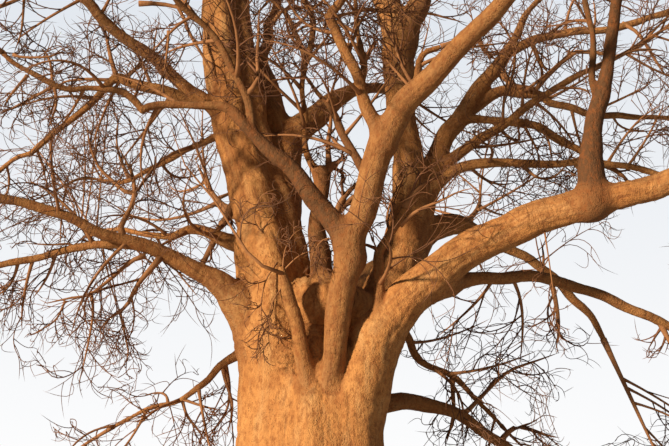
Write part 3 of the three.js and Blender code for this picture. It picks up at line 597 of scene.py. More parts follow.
def mesh_from(name, vertices, faces):
    """A smooth-shaded mesh from arrays of vertices and of faces with the same number of corners."""
    mesh = bpy.data.meshes.new(name)
    mesh.vertices.add(len(vertices))
    mesh.vertices.foreach_set("co", vertices.astype(np.float32).ravel())
    mesh.loops.add(faces.size)
    mesh.loops.foreach_set("vertex_index", faces.astype(np.int32).ravel())
    mesh.polygons.add(len(faces))
    mesh.polygons.foreach_set("loop_start", np.arange(0, faces.size, faces.shape[1], dtype=np.int32))
    mesh.update(calc_edges=True)
    mesh.shade_smooth()
    return mesh


def joined(parts):
    """Several arrays of vertices and faces as one."""
    start = np.cumsum([0] + [len(vertices) for vertices, _ in parts[:-1]])
    vertices = np.vstack([vertices for vertices, _ in parts])
    return vertices, np.vstack([faces + first for first, (_, faces) in zip(start, parts)])


def new_object(name, data):
    """An object in the scene, at the origin."""
    made = bpy.data.objects.new(name, data)
    bpy.context.scene.collection.objects.link(made)
    return made


def remeshed(mesh, step):
    """The outer skin of overlapping closed shapes as one mesh of even squares."""
    carrier = new_object("rough", mesh)
    remesh = carrier.modifiers.new("skin", "REMESH")
    remesh.mode = "VOXEL"
    remesh.voxel_size = step
    graph = bpy.context.evaluated_depsgraph_get()
    result = bpy.data.meshes.new_from_object(carrier.evaluated_get(graph))
    bpy.data.objects.remove(carrier)
    return result


def read(items, name, width=1, kind=np.float32):
    """One property of every vertex, corner or face, with a row for each where it has several numbers."""
    values = np.empty(len(items) * width, kind)
    items.foreach_get(name, values)
    return values.reshape(-1, width) if width > 1 else values


# The bark: a thin, smooth skin that has grown over the wood in one piece. It flutes along the grain, is
# dented all over and wrinkles in rings where limbs meet. It is cut into four pieces that fit edge to edge.
GROUND_BAND = 0.02  # metres: points below this height lie on the flat cut
FITS = 3  # times that the skin is drawn onto the smooth surface
FIT_STEP = 0.05  # metres that a point may move each time

rough = joined([rough_trunk()] + [rough_limb(shape) for shape in limbs.values()])
skin = remeshed(mesh_from("rough", *rough), SKIN_STEP)
points = read(skin.vertices, "co", 3).astype(float)
under = points[:, 2] < GROUND_BAND
for _ in range(FITS):
    near = from_bark(points)
    step = np.clip(near["smooth"], -FIT_STEP, FIT_STEP)
    step[under] = 0
    points -= near["normal"] * step[:, None]


# What stirs the bits of whole numbers into chance ones.
STIR = [np.uint32(number) for number in (0x9E3779B1, 0x85EBCA6B, 0xC2B2AE35, 0x2C1B3C6D, 0x297A2D39)]
SEED_STEP = 7919


def noise(places, seed):
    """Smooth noise from 0 to 1: a random number at each whole place, eased between the eight nearest."""
    cell = np.floor(places).astype(np.int64)
    part = places - cell
    ease = part * part * (3 - 2 * part)
    total = np.zeros(len(places))
    for corner in np.ndindex(2, 2, 2):
        x, y, z = (cell + corner).astype(np.uint32).T
        mixed = x * STIR[0] ^ y * STIR[1] ^ z * STIR[2]
        mixed = (mixed ^ np.uint32(seed * SEED_STEP)) * STIR[3]
        mixed = (mixed ^ (mixed >> np.uint32(13))) * STIR[4]
        share = np.where(corner, ease, 1 - ease).prod(axis=1)
        total += share * ((mixed ^ (mixed >> np.uint32(16))) / 2.0**32)
    return total


# The bark's relief: how many times the noise changes in a metre, its seed, and its height in metres where
# the limb has its full radius. What follows the grain has a number across, beside and along the limb.
FULL_RADIUS = 0.5
SIZES = (0.15, 1.6)  # the least and the most times the full radius that count
SWELLS = [(1.1, 1, 0.03), (2.7, 2, 0.024)]
DENTS = (8, 4, 0.016)
FINE_DENTS = (19, 5, 0.007)
FLUTES = ((3.2, 3.2, 0.35), 3, 0.055)
RINGS = ((1.4, 1.4, 8), 6, 0.02)
SEAMS = ((2.2, 2.2, 0.28), 7, 0.028)
RING_NARROW = 3  # how narrow the grooves are: one over their share of the noise's range
SEAM_NARROW = 9
SEAM_SIZE = 0.3  # the share of the full radius from which a limb has seams
# How strongly rings wrinkle a limb's bark all along it: most where it bends or bears its own weight.
WRINKLED = {"cross_arm": 0.9, "right_arm": 0.5, "front_arm": 0.4, "knob_limb": 0.5, "left_leader": 0.25,
            "left_low_arm": 0.4, "right_riser": 0.4}
LEAST_WRINKLED = 0.15
# How far from another limb the bark is strained: this share of the thinner one's radius, and these metres.
STRAIN_SHARE = 0.5
STRAIN_REACH = 0.12
STRAIN_GAIN = 1.6  # how much of a wrinkle full strain makes
FOOT_EASE = 0.1  # metres of height over which the relief starts at the ground
# The leader and the right arm aren't round: four blunt ridges run up each, with flatter faces between. The
# limbs that they run along, the bearing that one faces in radians right of the front, and half their
# height in metres. They rise from their foot over so many metres, and the faces sink by that share of it.
RIDGES = [(["left_leader", "lobe_left_leader"], -0.05, 0.06), (["right_arm", "lobe_right_arm"], 0.4, 0.014)]
RIDGE_FOOT = 5.8
RIDGE_EASE = 1.6
RIDGE_SINK = 0.6
RIDGE_COUNT = 4
# Lobes and boughs meet without a fold below this height in metres, wholly so this much further down.
FOLDLESS_TOP = 5.9
FOLDLESS_EASE = 0.5


def folds(value, narrow):
    """Narrow grooves where a smooth noise crosses its middle: 0 on most of the bark, 1 in a groove."""
    return np.clip(1 - np.abs(2 * value - 1) * narrow, 0, 1) ** 2


def bumps(fineness, seed, height):
    """Noise on the bark that rises and sinks by half its height."""
    return (noise(points * fineness, seed) - 0.5) * height


def along_grain(fineness, seed):
    """Noise in the grain of the nearest limb, eased into the next one's where the two meet."""
    share = crotch / 2
    first, second = near["place"][0], near["place"][1]
    return noise(first * fineness, seed) * (1 - share) + noise(second * fineness, seed) * share


near = from_bark(points)
size = np.clip(near["radius"][0] / FULL_RADIUS, *SIZES)
grain = near["place"][0]
crotch = near["depth"]
# A lobe runs into the trunk, and into the bough that it carries, without a fold.
bough_above = np.array(numbers_of(CARRIES.get(name, "trunk") for name in limb_names))
lobed = np.isin(near["limb"], lobe_numbers)
above = np.where(lobed, bough_above[near["limb"]], near["limb"])[:2]
carried = np.isin(above, [0] + numbers_of(CARRIES.values())).all(axis=0)
foldless = np.clip((FOLDLESS_TOP - points[:, 2]) / FOLDLESS_EASE, 0, 1) * carried
foldless[above[0] == above[1]] = 1
# Near another limb the bark is strained, and wrinkles most.
gap = near["distance"][1] - near["distance"][0]
reach = STRAIN_SHARE * near["radius"][:2].min(axis=0) + STRAIN_REACH
strain = np.clip(1 - gap / reach, 0, 1) * (1 - foldless)
wrinkled = for_each_limb(WRINKLED, LEAST_WRINKLED)[near["limb"][0]]
wrinkled = np.clip(strain * STRAIN_GAIN + wrinkled, 0, 1) * np.clip(size, 0, 1)
rings = folds(along_grain(*RINGS[:2]), RING_NARROW) * wrinkled
seams = folds(along_grain(*SEAMS[:2]), SEAM_NARROW) * np.clip(size - SEAM_SIZE, 0, 1)
relief = sum(bumps(*rule) * size for rule in [*SWELLS, DENTS]) + bumps(*FINE_DENTS)
relief += (along_grain(*FLUTES[:2]) - 0.5) * FLUTES[2] * size
relief -= rings * RINGS[2] + seams * SEAMS[2]
bearing = np.arctan2(near["normal"][:, 0], -near["normal"][:, 1])
for members, middle, height in RIDGES:
    level = height * np.clip((points[:, 2] - RIDGE_FOOT) / RIDGE_EASE, 0, 1)
    level *= np.isin(near["limb"][0], numbers_of(members)) * np.where(above[0] == above[1], 1, 1 - crotch)
    relief += level * (np.cos(RIDGE_COUNT * (bearing - middle)) - RIDGE_SINK)
relief *= np.clip(points[:, 2] / FOOT_EASE, 0, 1)
points += near["normal"] * relief[:, None]
points[:, 2] = np.maximum(points[:, 2], 0)
points[under, 2] = 0
skin.vertices.foreach_set("co", points.astype(np.float32).ravel())
skin.update()
normals = read(skin.vertices, "normal", 3)

# How much darker and greyer than the trunk's the bark of each limb is painted: mostly painted shade for the
# shade that the riser, the cross arm, the knob limb and other limbs lie in.
LIMB_SHADE = {"trunk": 0, "right_arm": 0.06, "left_leader": 0.1, "right_leader": 0.12, "back_leader": 0.15,
        "front_arm": 0.4, "left_back_arm": 0.2, "left_bent_arm": 0.2, "right_level_arm": 0.1,
        "right_cross_arm": 0.12, "right_high_arm": 0.12, "right_back_arm": 0.3, "right_leader_reach": 0.15,
        "right_leader_droop": 0.15, "inner_leader": 0.25, "inner_bow": 0.25, "front_stub": 0.35,
        "right_riser": 1.15, "riser_thin": 0.9, "cross_arm": 0.95, "cross_arm_reach": 0.6,
        "cross_arm_riser": 0.75, "knob_limb": 0.75, "dark_limb": 0.9}
USUAL_LIMB_SHADE = 0.42
# What the bark's colours follow: the grain's place along each limb, painted shade by how deep a point lies
# in a fold, and how weathered it is, which grows from this far from the fork over these metres, and on what
# faces up.
FORK = (0, 0, 5.5)
WEATHERED_FROM = 2.5
WEATHERED_OVER = 7
WEATHERED_OUT = 0.75
WEATHERED_UP = 0.45
# How much painted shade a fork's fold, a ring wrinkle and each metre of depth add.
FORK_SHADE = 0.8
RING_SHADE = 0.7
DEPTH_SHADE = 5
outward = np.clip((np.linalg.norm(points - FORK, axis=1) - WEATHERED_FROM) / WEATHERED_OVER, 0, 1)
weathered = outward * WEATHERED_OUT + np.clip(normals[:, 2], 0, 1) * WEATHERED_UP
# Painted shade over whole limbs, eased between two limbs where they meet in a crotch.
limb_shade = for_each_limb(LIMB_SHADE, USUAL_LIMB_SHADE)[above]
limb_shade = limb_shade[0] * (1 - crotch / 2) + limb_shade[1] * crotch / 2
# Painted shade: darkest deep in a fork's fold, in ring wrinkles and where the relief sinks.
fold_shade = crotch * (1 - foldless) * FORK_SHADE + rings * RING_SHADE - relief * DEPTH_SHADE / size
fold_shade = np.clip(fold_shade, 0, 1)

for name, values in {"grain": grain, "weathered": weathered, "limb_shade": limb_shade, "fold_shade": fold_shade,
                     "open": 1 - crotch, "facing": normals}.items():
    layer = skin.attributes.new(name, "FLOAT_VECTOR" if values.ndim == 2 else "FLOAT", "POINT")
    layer.data.foreach_set("vector" if values.ndim == 2 else "value", values.astype(np.float32).ravel())

TRUNK_TOP = 5.2  # metres: up to here the lobes and the boughs' feet are part of the trunk's bark
RIM_DEPTH = 0.04  # metres that a piece's cut rim turns in
MERGE = 0.001  # metres: points closer than this become one
PIECES = {
    "trunk_bark": ["trunk", "front_stub", "knob_limb"],
    "left_bark": ["left_leader", "left_low_arm", "left_low_fork", "left_high_arm", "left_bent_arm",
                  "left_back_arm", "left_lowest_arm", "inner_leader", "inner_bow", "leader_left_fork",
                  "leader_right_fork"],
    "front_bark": ["right_arm", "front_arm", "front_fork", "cross_arm", "cross_arm_reach",
                   "cross_arm_riser", "right_riser", "right_low_arm"],
    "right_bark": ["right_leader", "back_leader", "back_leader_fork", "right_high_arm",
                   "right_cross_arm", "right_level_arm", "right_back_arm", "right_lowest_arm",
                   "back_left_arm", "back_right_arm", "back_low_arm"],
}
THIN_IN = {"thin_left": "left_bark", "knob_shoot": "trunk_bark", "knob_shoot_fork": "trunk_bark",
           "riser_thin": "front_bark", "arm_stub": "front_bark", "dark_limb": "front_bark",
           "front_fork_riser": "front_bark", "front_arm_stub": "front_bark", "thin_right": "right_bark",
           "right_leader_reach": "right_bark", "right_leader_droop": "right_bark"}


def piece_of(name):
    """The number of the bark piece that a limb is part of; the lobes are part of the trunk's."""
    for number, (piece, members) in enumerate(PIECES.items()):
        if name in members or THIN_IN.get(name) == piece:
            return number
    return 0


def open_edges(shape):
    """The edges with a face on one side only."""
    return [edge for edge in shape.edges if edge.is_boundary]


def cut_out(mesh, wanted, name):
    """The wanted faces of a mesh as one of their own. Its open edges turn into the tree and are closed
    there with flat caps, and the whole skin's normals are kept, so that no seam shows."""
    shape = bmesh.new()
    shape.from_mesh(mesh)
    unwanted = [face for face, keep in zip(shape.faces, wanted) if not keep]
    bmesh.ops.delete(shape, geom=unwanted, context="FACES")
    bmesh.ops.remove_doubles(shape, verts=shape.verts, dist=MERGE)
    facing = shape.verts.layers.float_vector["facing"]
    rim = bmesh.ops.extrude_edge_only(shape, edges=open_edges(shape))["geom"]
    for vertex in rim:
        if isinstance(vertex, bmesh.types.BMVert):
            vertex.co -= vertex[facing] * RIM_DEPTH
    bmesh.ops.holes_fill(shape, edges=open_edges(shape), sides=0)
    bmesh.ops.triangulate(shape, faces=[face for face in shape.faces if len(face.verts) > 4])
    piece = bpy.data.meshes.new(name)
    shape.to_mesh(piece)
    shape.free()
    piece.shade_smooth()
    piece.normals_split_custom_set_from_vertices(read(piece.attributes["facing"].data, "vector", 3))
    piece.attributes.remove(piece.attributes["facing"])
    return piece


class Value:
    """A number in a material that changes over the surface. Sums on it add Math nodes."""

    def __init__(self, recipe, socket):
        self.recipe = recipe
        self.socket = socket

    def sum(self, operation, *numbers):
        node = self.recipe.add("Math", {"operation": operation}, dict(enumerate(numbers)))
        return Value(self.recipe, node.outputs[0])

    def __add__(self, other):
        return self.sum("ADD", self, other)

    def __sub__(self, other):
        return self.sum("SUBTRACT", self, other)

    def __rsub__(self, other):
        return self.sum("SUBTRACT", other, self)

    def __mul__(self, other):
        return self.sum("MULTIPLY", self, other)

    __radd__, __rmul__ = __add__, __mul__


class Recipe:
    """The nodes of a material or of the sky, and the one way to add a node to them."""

    def __init__(self, owner, shader="Principled BSDF"):
        self.owner = owner
        self.owner.use_nodes = True
        self.tree = owner.node_tree
        self.shader = self.tree.nodes[shader]

    def add(self, kind, settings, sockets):
        """A node of that kind: its settings first, a ramp's stops among them, then its sockets."""
        node = self.tree.nodes.new("ShaderNode" + kind)
        stops = settings.get("stops", [])
        for setting, value in settings.items():
            if setting != "stops":
                setattr(node, setting, value)
        for number, (position, tint) in enumerate(stops):
            node.color_ramp.elements[number].position = position
            node.color_ramp.elements[number].color = tint
        for socket, value in sockets.items():
            self.set_socket(node.inputs[socket], value)
        return node

    def set_socket(self, socket, value):
        """Set a socket to a plain value, or link it to a socket or to a sum."""
        if isinstance(value, Value):
            self.tree.links.new(value.socket, socket)
        elif isinstance(value, bpy.types.NodeSocket):
            self.tree.links.new(value, socket)
        else:
            socket.default_value = value

    def feed(self, name, value):
        """Set or link a socket of the shader."""
        self.set_socket(self.shader.inputs[name], value)

    def object_place(self):
        """The point's place on the tree, in metres."""
        return self.add("TexCoord", {}, {}).outputs["Object"]

    def vector(self, name):
        """A place or direction that the mesh holds for each point."""
        return self.add("Attribute", {"attribute_name": name}, {}).outputs["Vector"]

    def number(self, name):
        """A number that the mesh holds for each point."""
        return Value(self, self.add("Attribute", {"attribute_name": name}, {}).outputs["Fac"])

    def noise(self, vector, scale, detail=2, rough=0.55):
        """Noise at a scale that is one number, or one for each axis of the vector."""
        if isinstance(scale, tuple):
            vector = self.add("VectorMath", {"operation": "MULTIPLY"}, {0: vector, 1: scale}).outputs[0]
            scale = 1.0
        sockets = {"Vector": vector, "Scale": scale, "Detail": detail, "Roughness": rough}
        return Value(self, self.add("TexNoise", {}, sockets).outputs["Fac"])

    def spots(self, vector, scale):
        """How far the nearest of many scattered spots is, as a share of their spacing."""
        node = self.add("TexVoronoi", {}, {"Vector": vector, "Scale": scale, "Randomness": 1.0})
        return Value(self, node.outputs["Distance"])

    def between(self, value, low, high):
        """The value stretched so that low becomes 0 and high becomes 1, and held between them."""
        node = self.add("MapRange", {"clamp": True}, {0: value, 1: low, 2: high, 3: 0.0, 4: 1.0})
        return Value(self, node.outputs[0])

    def mix(self, share, a, b):
        """Colour a times one less the share, plus colour b times the share."""
        return self.add("Mix", {"data_type": "RGBA"}, {0: share, 6: a, 7: (*b, 1.0)}).outputs[2]

    def bump(self, height, depth):
        """Tilt the surface as if it stood out by the depth in metres where the height is one."""
        node = self.add("Bump", {}, {"Height": height, "Distance": depth, "Strength": 1.0})
        self.feed("Normal", node.outputs[0])


def bark_material():
    """Smooth golden bark: ochre and tan in slow patches, darker streaks along the grain and ring wrinkles
    across it, many small dark pocks, grey-brown where it is weathered, red-brown painted shade in the folds,
    and dark painted shade over whole limbs that lie in shade."""
    bark = Recipe(bpy.data.materials.new("baobab bark"))
    place = bark.object_place()
    grain = bark.vector("grain")
    clear = bark.number("open")
    mottle = bark.noise(place, 5.0, 4)
    streaks = bark.noise(grain, (7.0, 7.0, 0.9), 4)
    pale = bark.noise(grain, (5.2, 5.2, 0.91), 4, 0.6)
    rings = bark.noise(grain, (2.5, 2.5, 15.0), 3)
    fine = bark.noise(place, 34.0, 4, 0.6)
    speckle = bark.noise(place, (13.0, 13.0, 7.8), 5, 0.7)
    cracks = bark.noise(grain, (17.0, 17.0, 4.0), 4, 0.7)
    pitted = bark.between(bark.noise(place, 1.6, 2), 0.42, 0.62)
    pocks = bark.between(bark.spots(place, 19.0), 0.24, 0.1) * pitted
    worn = bark.between(bark.number("weathered") * 0.8 + mottle * 0.5, 0.5, 1.0)
    # How much painted shade darkens each limb as a whole.
    limb_shade = bark.between(bark.number("limb_shade") + mottle * 0.3, 0.15, 1.15)
    # Each layer's share and colour, from the lowest one up.
    layers = [
        (bark.between(bark.noise(place, 0.9, 3), 0.35, 0.7), (0.66, 0.35, 0.13)),
        (bark.between(mottle, 0.45, 0.72) * 0.7, (0.42, 0.17, 0.05)),
        (bark.between(pale, 0.5, 0.68) * 0.55, (0.66, 0.42, 0.2)),
        (bark.between(streaks, 0.5, 0.72) * clear * 0.7, (0.36, 0.145, 0.045)),
        (bark.between(rings, 0.58, 0.8) * clear * 0.35, (0.34, 0.135, 0.04)),
        (worn * 0.7, (0.35, 0.205, 0.09)),
        # Painted shade over limbs that lie in shade.
        (limb_shade, (0.12, 0.058, 0.024)),
        # Red-brown painted shade in the folds, wrinkles and dents.
        (bark.number("fold_shade") * 0.55, (0.24, 0.085, 0.025)),
        (pocks * 0.45, (0.14, 0.055, 0.02)),
        (bark.between(speckle, 0.49, 0.63) * 0.66, (0.26, 0.088, 0.022)),
        (bark.between(cracks, 0.5, 0.64) * clear * 0.6, (0.2, 0.075, 0.025)),
    ]
    tan = (0.55, 0.255, 0.08, 1.0)
    for share, tint in layers:
        tan = bark.mix(share, tan, tint)
    height = (streaks * 0.5 + rings * 0.5 - cracks * 0.3) * clear
    height = height + fine * 0.5 + mottle * 0.6 - pocks * 0.3 - speckle * 0.7
    bark.feed("Base Color", tan)
    bark.feed("Roughness", 0.75 + fine * 0.2)
    bark.bump(height, 0.045)
    return bark.owner


bark_look = bark_material()
owner = np.array([piece_of(CARRIES.get(name, name)) for name in limb_names])[near["limb"][0]]
owner[(points[:, 2] < TRUNK_TOP) & np.isin(above[0], numbers_of(CARRIES.values()))] = 0
corners = read(skin.loops, "vertex_index", kind=np.int32)
face_owner = owner[corners[read(skin.polygons, "loop_start", kind=np.int32)]]
for number, (name, members) in enumerate(PIECES.items()):
    piece = new_object(name, cut_out(skin, face_owner == number, name))
    piece.data.materials.append(bark_look)
    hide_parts(*members)
    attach(piece, "root")


# The bare twigs: thin, hooked and dark, on branches that grow on from the boughs' tips and sides. They
# branch by the rule of the solids, carried on to finer twigs, and each turns up or droops as it grows.

# Each mass grows from a bough's tip: its reach in metres, and how much its shoots lift or droop.
MASSES = {
    "twigs_top_left": ("leader_left_fork", 2.6, 0.6),
    "twigs_top_middle": ("leader_right_fork", 2.5, 0.6),
    "twigs_high_left": ("left_high_arm", 2.9, 0.5),
    "twigs_bent_left": ("left_bent_arm", 2.6, 0.1),
    "twigs_back_left": ("left_back_arm", 3.2, 0.3),
    "twigs_low_left": ("left_low_arm", 3.2, 0.1),
    "twigs_lowest_left": ("left_lowest_arm", 2.3, -0.5),
    "twigs_cross": ("cross_arm_reach", 2.6, 0.4),
    "twigs_front_left": ("cross_arm_riser", 2.8, 0.5),
    "twigs_front": ("front_fork", 2.8, 0.5),
    "twigs_front_right": ("front_arm", 3.2, 0.5),
    "twigs_right": ("right_arm", 2.9, 0.3),
    "twigs_right_rise": ("right_riser", 2.8, 0.6),
    "twigs_inner": ("inner_leader", 2.6, 0.6),
    "twigs_bow": ("inner_bow", 2.2, 0.5),
    "twigs_top_back": ("back_leader", 2.6, 0.6),
    "twigs_top_right": ("back_leader_fork", 2.7, 0.6),
    "twigs_high_right": ("right_leader", 2.7, 0.6),
    "twigs_far_right": ("right_high_arm", 2.6, 0.4),
    "twigs_level_right": ("right_level_arm", 2.7, 0.1),
    "twigs_cross_right": ("right_cross_arm", 2.2, 0.4),
    "twigs_right_back": ("right_back_arm", 2.8, -0.3),
    "twigs_low_right": ("right_low_arm", 2.6, -0.3),
    "twigs_lowest_right": ("right_lowest_arm", 2.4, -0.5),
    "twigs_back_high": ("back_left_arm", 3.2, 0.5),
    "twigs_back_right": ("back_right_arm", 3.2, 0.5),
    "twigs_back_low": ("back_low_arm", 2.8, 0.2),
}

# What grows on what: children on each parent, steps in a shoot, length as a share of the parent's, radius at
# the tip in metres, how far a shoot strays, and how far it turns from its parent in radians. The finer ranks
# stray more and more, into hooks.
RANKS = [
    {"children": 7, "steps": 10, "length": 1.0, "tip": 0.018, "wander": 0.8, "spread": (0.75, 1.25)},
    {"children": 4, "steps": 9, "length": 0.68, "tip": 0.0115, "wander": 2.2, "spread": (0.5, 1.1)},
    {"children": 5, "steps": 8, "length": 0.75, "tip": 0.008, "wander": 4.2, "spread": (0.4, 1.0)},
    {"children": 1, "steps": 7, "length": 0.85, "tip": 0.0062, "wander": 5.2, "spread": (0.4, 1.0)},
]
STEM_STEPS = 10
STEM_TIP = 0.03
STEM_WANDER = 0.8
STEM_GIRTH = 0.98  # of the limb's girth at its tip
FIRST_AT = 0.16  # where the first and the last child may grow, as a share of the parent
LAST_AT = 0.97
GOLDEN = 0.618034
ATTEMPTS = 8
CHILD_RADIUS = 0.55  # of the parent's
# A child's length as a share of its rank's: at its parent's foot, and how much less at its parent's tip.
# Then the least share of that which chance leaves, and how much it can add.
FOOT_LENGTH = 1.2
LENGTH_FALL = 0.6
LEAST_LENGTH = 0.8
CHANCE_LENGTH = 0.4
ID_STEP = np.uint32(97)
# Which of its chance numbers a shoot uses for what.
CURL_USES = (1, 2, 3)
ASIDE_USES = (5, 6, 7)
TURN_USE = 8
LENGTH_USE = 9
CURL_POWER = 1.5


def chance(shoot, use):
    """A number from 0 to 1 that depends only on two whole numbers, worked out as in the solids."""
    mixed = shoot * STIR[0] ^ np.uint32((use + 1) * int(STIR[1]) & 0xFFFFFFFF)
    mixed = (mixed ^ (mixed >> np.uint32(15))) * STIR[3]
    mixed = (mixed ^ (mixed >> np.uint32(12))) * STIR[4]
    return (mixed ^ (mixed >> np.uint32(15))) / 2.0**32


def chances(ids, uses):
    """Three numbers for each shoot, from a half below 0 to a half above."""
    return np.stack([chance(ids, use) for use in uses], axis=1) - 0.5


def shoot_points(foot, heading, length, steps, ids, lift, wander):
    """Each shoot's points: it sets off along its heading, and to that adds a stray direction of its own
    and a lift, more and more towards its tip, as the way along it to the power 1.5."""
    curl = 2 * wander * chances(ids, CURL_USES)
    curl[:, 2] += lift
    line = [foot]
    for step in range(steps):
        way = unit(heading + curl * ((step + 0.5) / steps) ** CURL_POWER)
        line.append(line[-1] + way * (length / steps)[:, None])
    return np.stack(line, axis=1)


def along_shoot(lines, share):
    """The point at a share of each line's steps, and the line's direction there."""
    at = share * (lines.shape[1] - 1)
    below = np.minimum(at.astype(int), lines.shape[1] - 2)
    row = np.arange(len(lines))
    start, end = lines[row, below], lines[row, below + 1]
    return start + (end - start) * (at - below)[:, None], unit(end - start)


def shoots(line, **values):
    """Shoots along some lines, with a value for each, or one for all: their id, length, lift, mass, and
    radius at the foot and at the tip."""
    return {"line": line, **{key: np.full(len(line), value) for key, value in values.items()}}


def picked(group, index):
    """The shoots of a group that the index or mask picks."""
    return {key: values[index] for key, values in group.items()}


def gathered(groups):
    """Several groups of shoots as one."""
    return {key: np.concatenate([group[key] for group in groups]) for key in groups[0]}


def grown_on(parents, nth, rank, length, keeps, first_at=FIRST_AT):
    """The nth child of each parent. Children step round the parent by the golden angle and turn away
    from it by the spread. Each tries a few ways to go, and is skipped if none of them is kept."""
    share = first_at + (LAST_AT - first_at) * ((0.5 + nth * GOLDEN) % 1)
    foot, along = along_shoot(parents["line"], share)
    radius = parents["radius"] + (parents["tip"] - parents["radius"]) * share
    waiting = np.arange(len(nth))
    kept = []
    for attempt in range(ATTEMPTS):
        if not len(waiting):
            break
        tried = nth[waiting] * ATTEMPTS + attempt + 1
        ids = parents["id"][waiting] * ID_STEP + tried.astype(np.uint32)
        across = unit(np.cross(along[waiting], chances(ids, ASIDE_USES)))
        low, high = rank["spread"]
        turn = (low + (high - low) * chance(ids, TURN_USE))[:, None]
        heading = along[waiting] * np.cos(turn) + across * np.sin(turn)
        long = length[waiting] * (FOOT_LENGTH - LENGTH_FALL * share[waiting])
        long = long * (LEAST_LENGTH + CHANCE_LENGTH * chance(ids, LENGTH_USE))
        lift = parents["lift"][waiting]
        mass = parents["mass"][waiting]
        line = shoot_points(foot[waiting], heading, long, rank["steps"], ids, lift, rank["wander"])
        made = shoots(line, id=ids, length=long, lift=lift, mass=mass, tip=rank["tip"],
                      radius=np.maximum(radius[waiting] * CHILD_RADIUS, rank["tip"]))
        fits = keeps(line, mass)
        kept.append(picked(made, fits))
        waiting = waiting[~fits]
    return gathered(kept)


def brood(parents, rank, keeps):
    """All the children that a rank has on each parent."""
    index = np.repeat(np.arange(len(parents["id"])), rank["children"])
    nth = np.tile(np.arange(rank["children"]), len(parents["id"]))
    repeated = picked(parents, index)
    return grown_on(repeated, nth, rank, repeated["length"] * rank["length"], keeps)


def stems(rules, wander, tip, first_id):
    """The stems that grow on from the tips of limbs, from each one's limb, reach and lift."""
    groups = []
    for index, (name, reach, lift) in enumerate(rules):
        shape = limbs[name]
        foot, heading = shape["points"][-1:], shape["along"][-1:]
        ids = np.array([first_id + index], np.uint32)
        line = shoot_points(foot, heading, np.array([reach]), STEM_STEPS, ids, lift, wander)
        groups.append(shoots(line, id=ids, length=reach, lift=lift, mass=index, tip=tip,
                             radius=shape["radii"][-1:] * STEM_GIRTH))
    return gathered(groups)


stem_shoots = stems(MASSES.values(), STEM_WANDER, STEM_TIP, 1)
middles = along_shoot(stem_shoots["line"], np.full(len(MASSES), 0.5))[0]

# How much nearer to its own mass's middle than to any other's a branch stays, in metres, and how far clear
# of the limbs: the masses' own branches, those on the boughs' sides, and twigs.
MASS_CLEAR = 0.12
BRANCH_CLEAR = 0.2
SIDE_CLEAR = 0.07
TWIG_CLEAR = 0.02
SEARCH_CELL = 1.2
# The crown that side branches fill is as wide and high as the solids', and its outline is rounded.
CROWN_FOOT = 2.4
CROWN_POWER = 2.5
crown_low = np.array([*cad_box[0][:2], CROWN_FOOT])
crown_high = np.array(cad_box[1])


def nearest_mass(place):
    """The number of the mass whose middle is nearest."""
    return np.argmin(np.linalg.norm(middles - place, axis=1))


def clear_of_limbs(line, clear):
    """True for each line whose points, its foot apart, all lie at least that far from every limb."""
    places = line[:, 1:].reshape(-1, 3)
    clear_enough = from_bark(places, SEARCH_CELL, clear)["distance"][0] > clear
    return clear_enough.reshape(line.shape[0], line.shape[1] - 1).all(axis=1)


def keeps_in_mass(line, mass):
    """True for each line that stays in its mass's own space, which is what lies nearer to that mass's
    middle than to any other's, and clear of the limbs."""
    gap = np.linalg.norm(line[:, 1:, None] - middles, axis=3)
    own = np.take_along_axis(gap, np.broadcast_to(mass[:, None, None], gap.shape[:2] + (1,)), 2)
    others = np.where(np.arange(len(middles)) == mass[:, None, None], FAR, gap).min(axis=2)
    return (others > own[:, :, 0] + MASS_CLEAR).all(axis=1) & clear_of_limbs(line, BRANCH_CLEAR)


def keeps_in_crown(line, mass):
    """True for each line that stays clear of the limbs and inside the crown's own round outline: its way
    from the middle, as a share of half the crown's width each way, has a sum of powers 2.5 below 1."""
    away = (2 * line - crown_low - crown_high) / (crown_high - crown_low)
    return ((np.abs(away) ** CROWN_POWER).sum(axis=2) < 1).all(axis=1) & clear_of_limbs(line, SIDE_CLEAR)


def keeps_in_reach(line, mass):
    """True for each line that stays off the bark and reaches no further than the solids do."""
    inside = (line > crown_low).all(axis=2) & (line < crown_high).all(axis=2)
    return inside.all(axis=1) & clear_of_limbs(line, TWIG_CLEAR)


# How what grows on a bough's side droops, where it doesn't lift by 0.4.
DROOPING = {"left_low_arm": -0.35, "left_low_fork": -0.7, "left_lowest_arm": -0.5, "left_back_arm": -0.2,
            "left_bent_arm": -0.2, "thin_left": -0.3, "right_low_arm": -0.7, "right_back_arm": -0.6,
            "right_lowest_arm": -0.4, "thin_right": -0.5, "right_level_arm": -0.1}
USUAL_LIFT = 0.4
SIDE_STEPS = 24
EARLIEST = 0.15  # the share of a bough's length from which anything may grow on its side
STOUT_FROM = 0.9  # and from which it does where the bough is thick all along
SIDE_TAPER = 0.6  # how thick a bough counts at its tip, as a share of the girth given for its foot


def on_sides(rank, per_metre, length, thickest, girth, first_id):
    """Shoots along each bough from where its radius falls below the thickest, so many for each metre."""
    groups = []
    for index, name in enumerate([*BOUGHS, *THIN_LIMBS]):
        shape = limbs[name]
        share = shape["run"] / shape["run"][-1]
        thin = shape["radii"] < thickest
        first_at = max(share[np.argmax(thin)] if thin.any() else STOUT_FROM, EARLIEST)
        count = int((1 - first_at) * shape["run"][-1] * per_metre) + 1
        even = along_path(shape["points"], share, np.linspace(0, 1, SIDE_STEPS + 1))
        parents = shoots(np.repeat(even[None], count, 0), id=np.uint32(first_id + index),
                         lift=DROOPING.get(name, USUAL_LIFT), mass=nearest_mass(shape["points"][-1]),
                         radius=min(shape["radii"][0], girth), tip=SIDE_TAPER * girth)
        lengths = np.full(count, length)
        groups.append(grown_on(parents, np.arange(count), rank, lengths, keeps_in_crown, first_at))
    return gathered(groups)


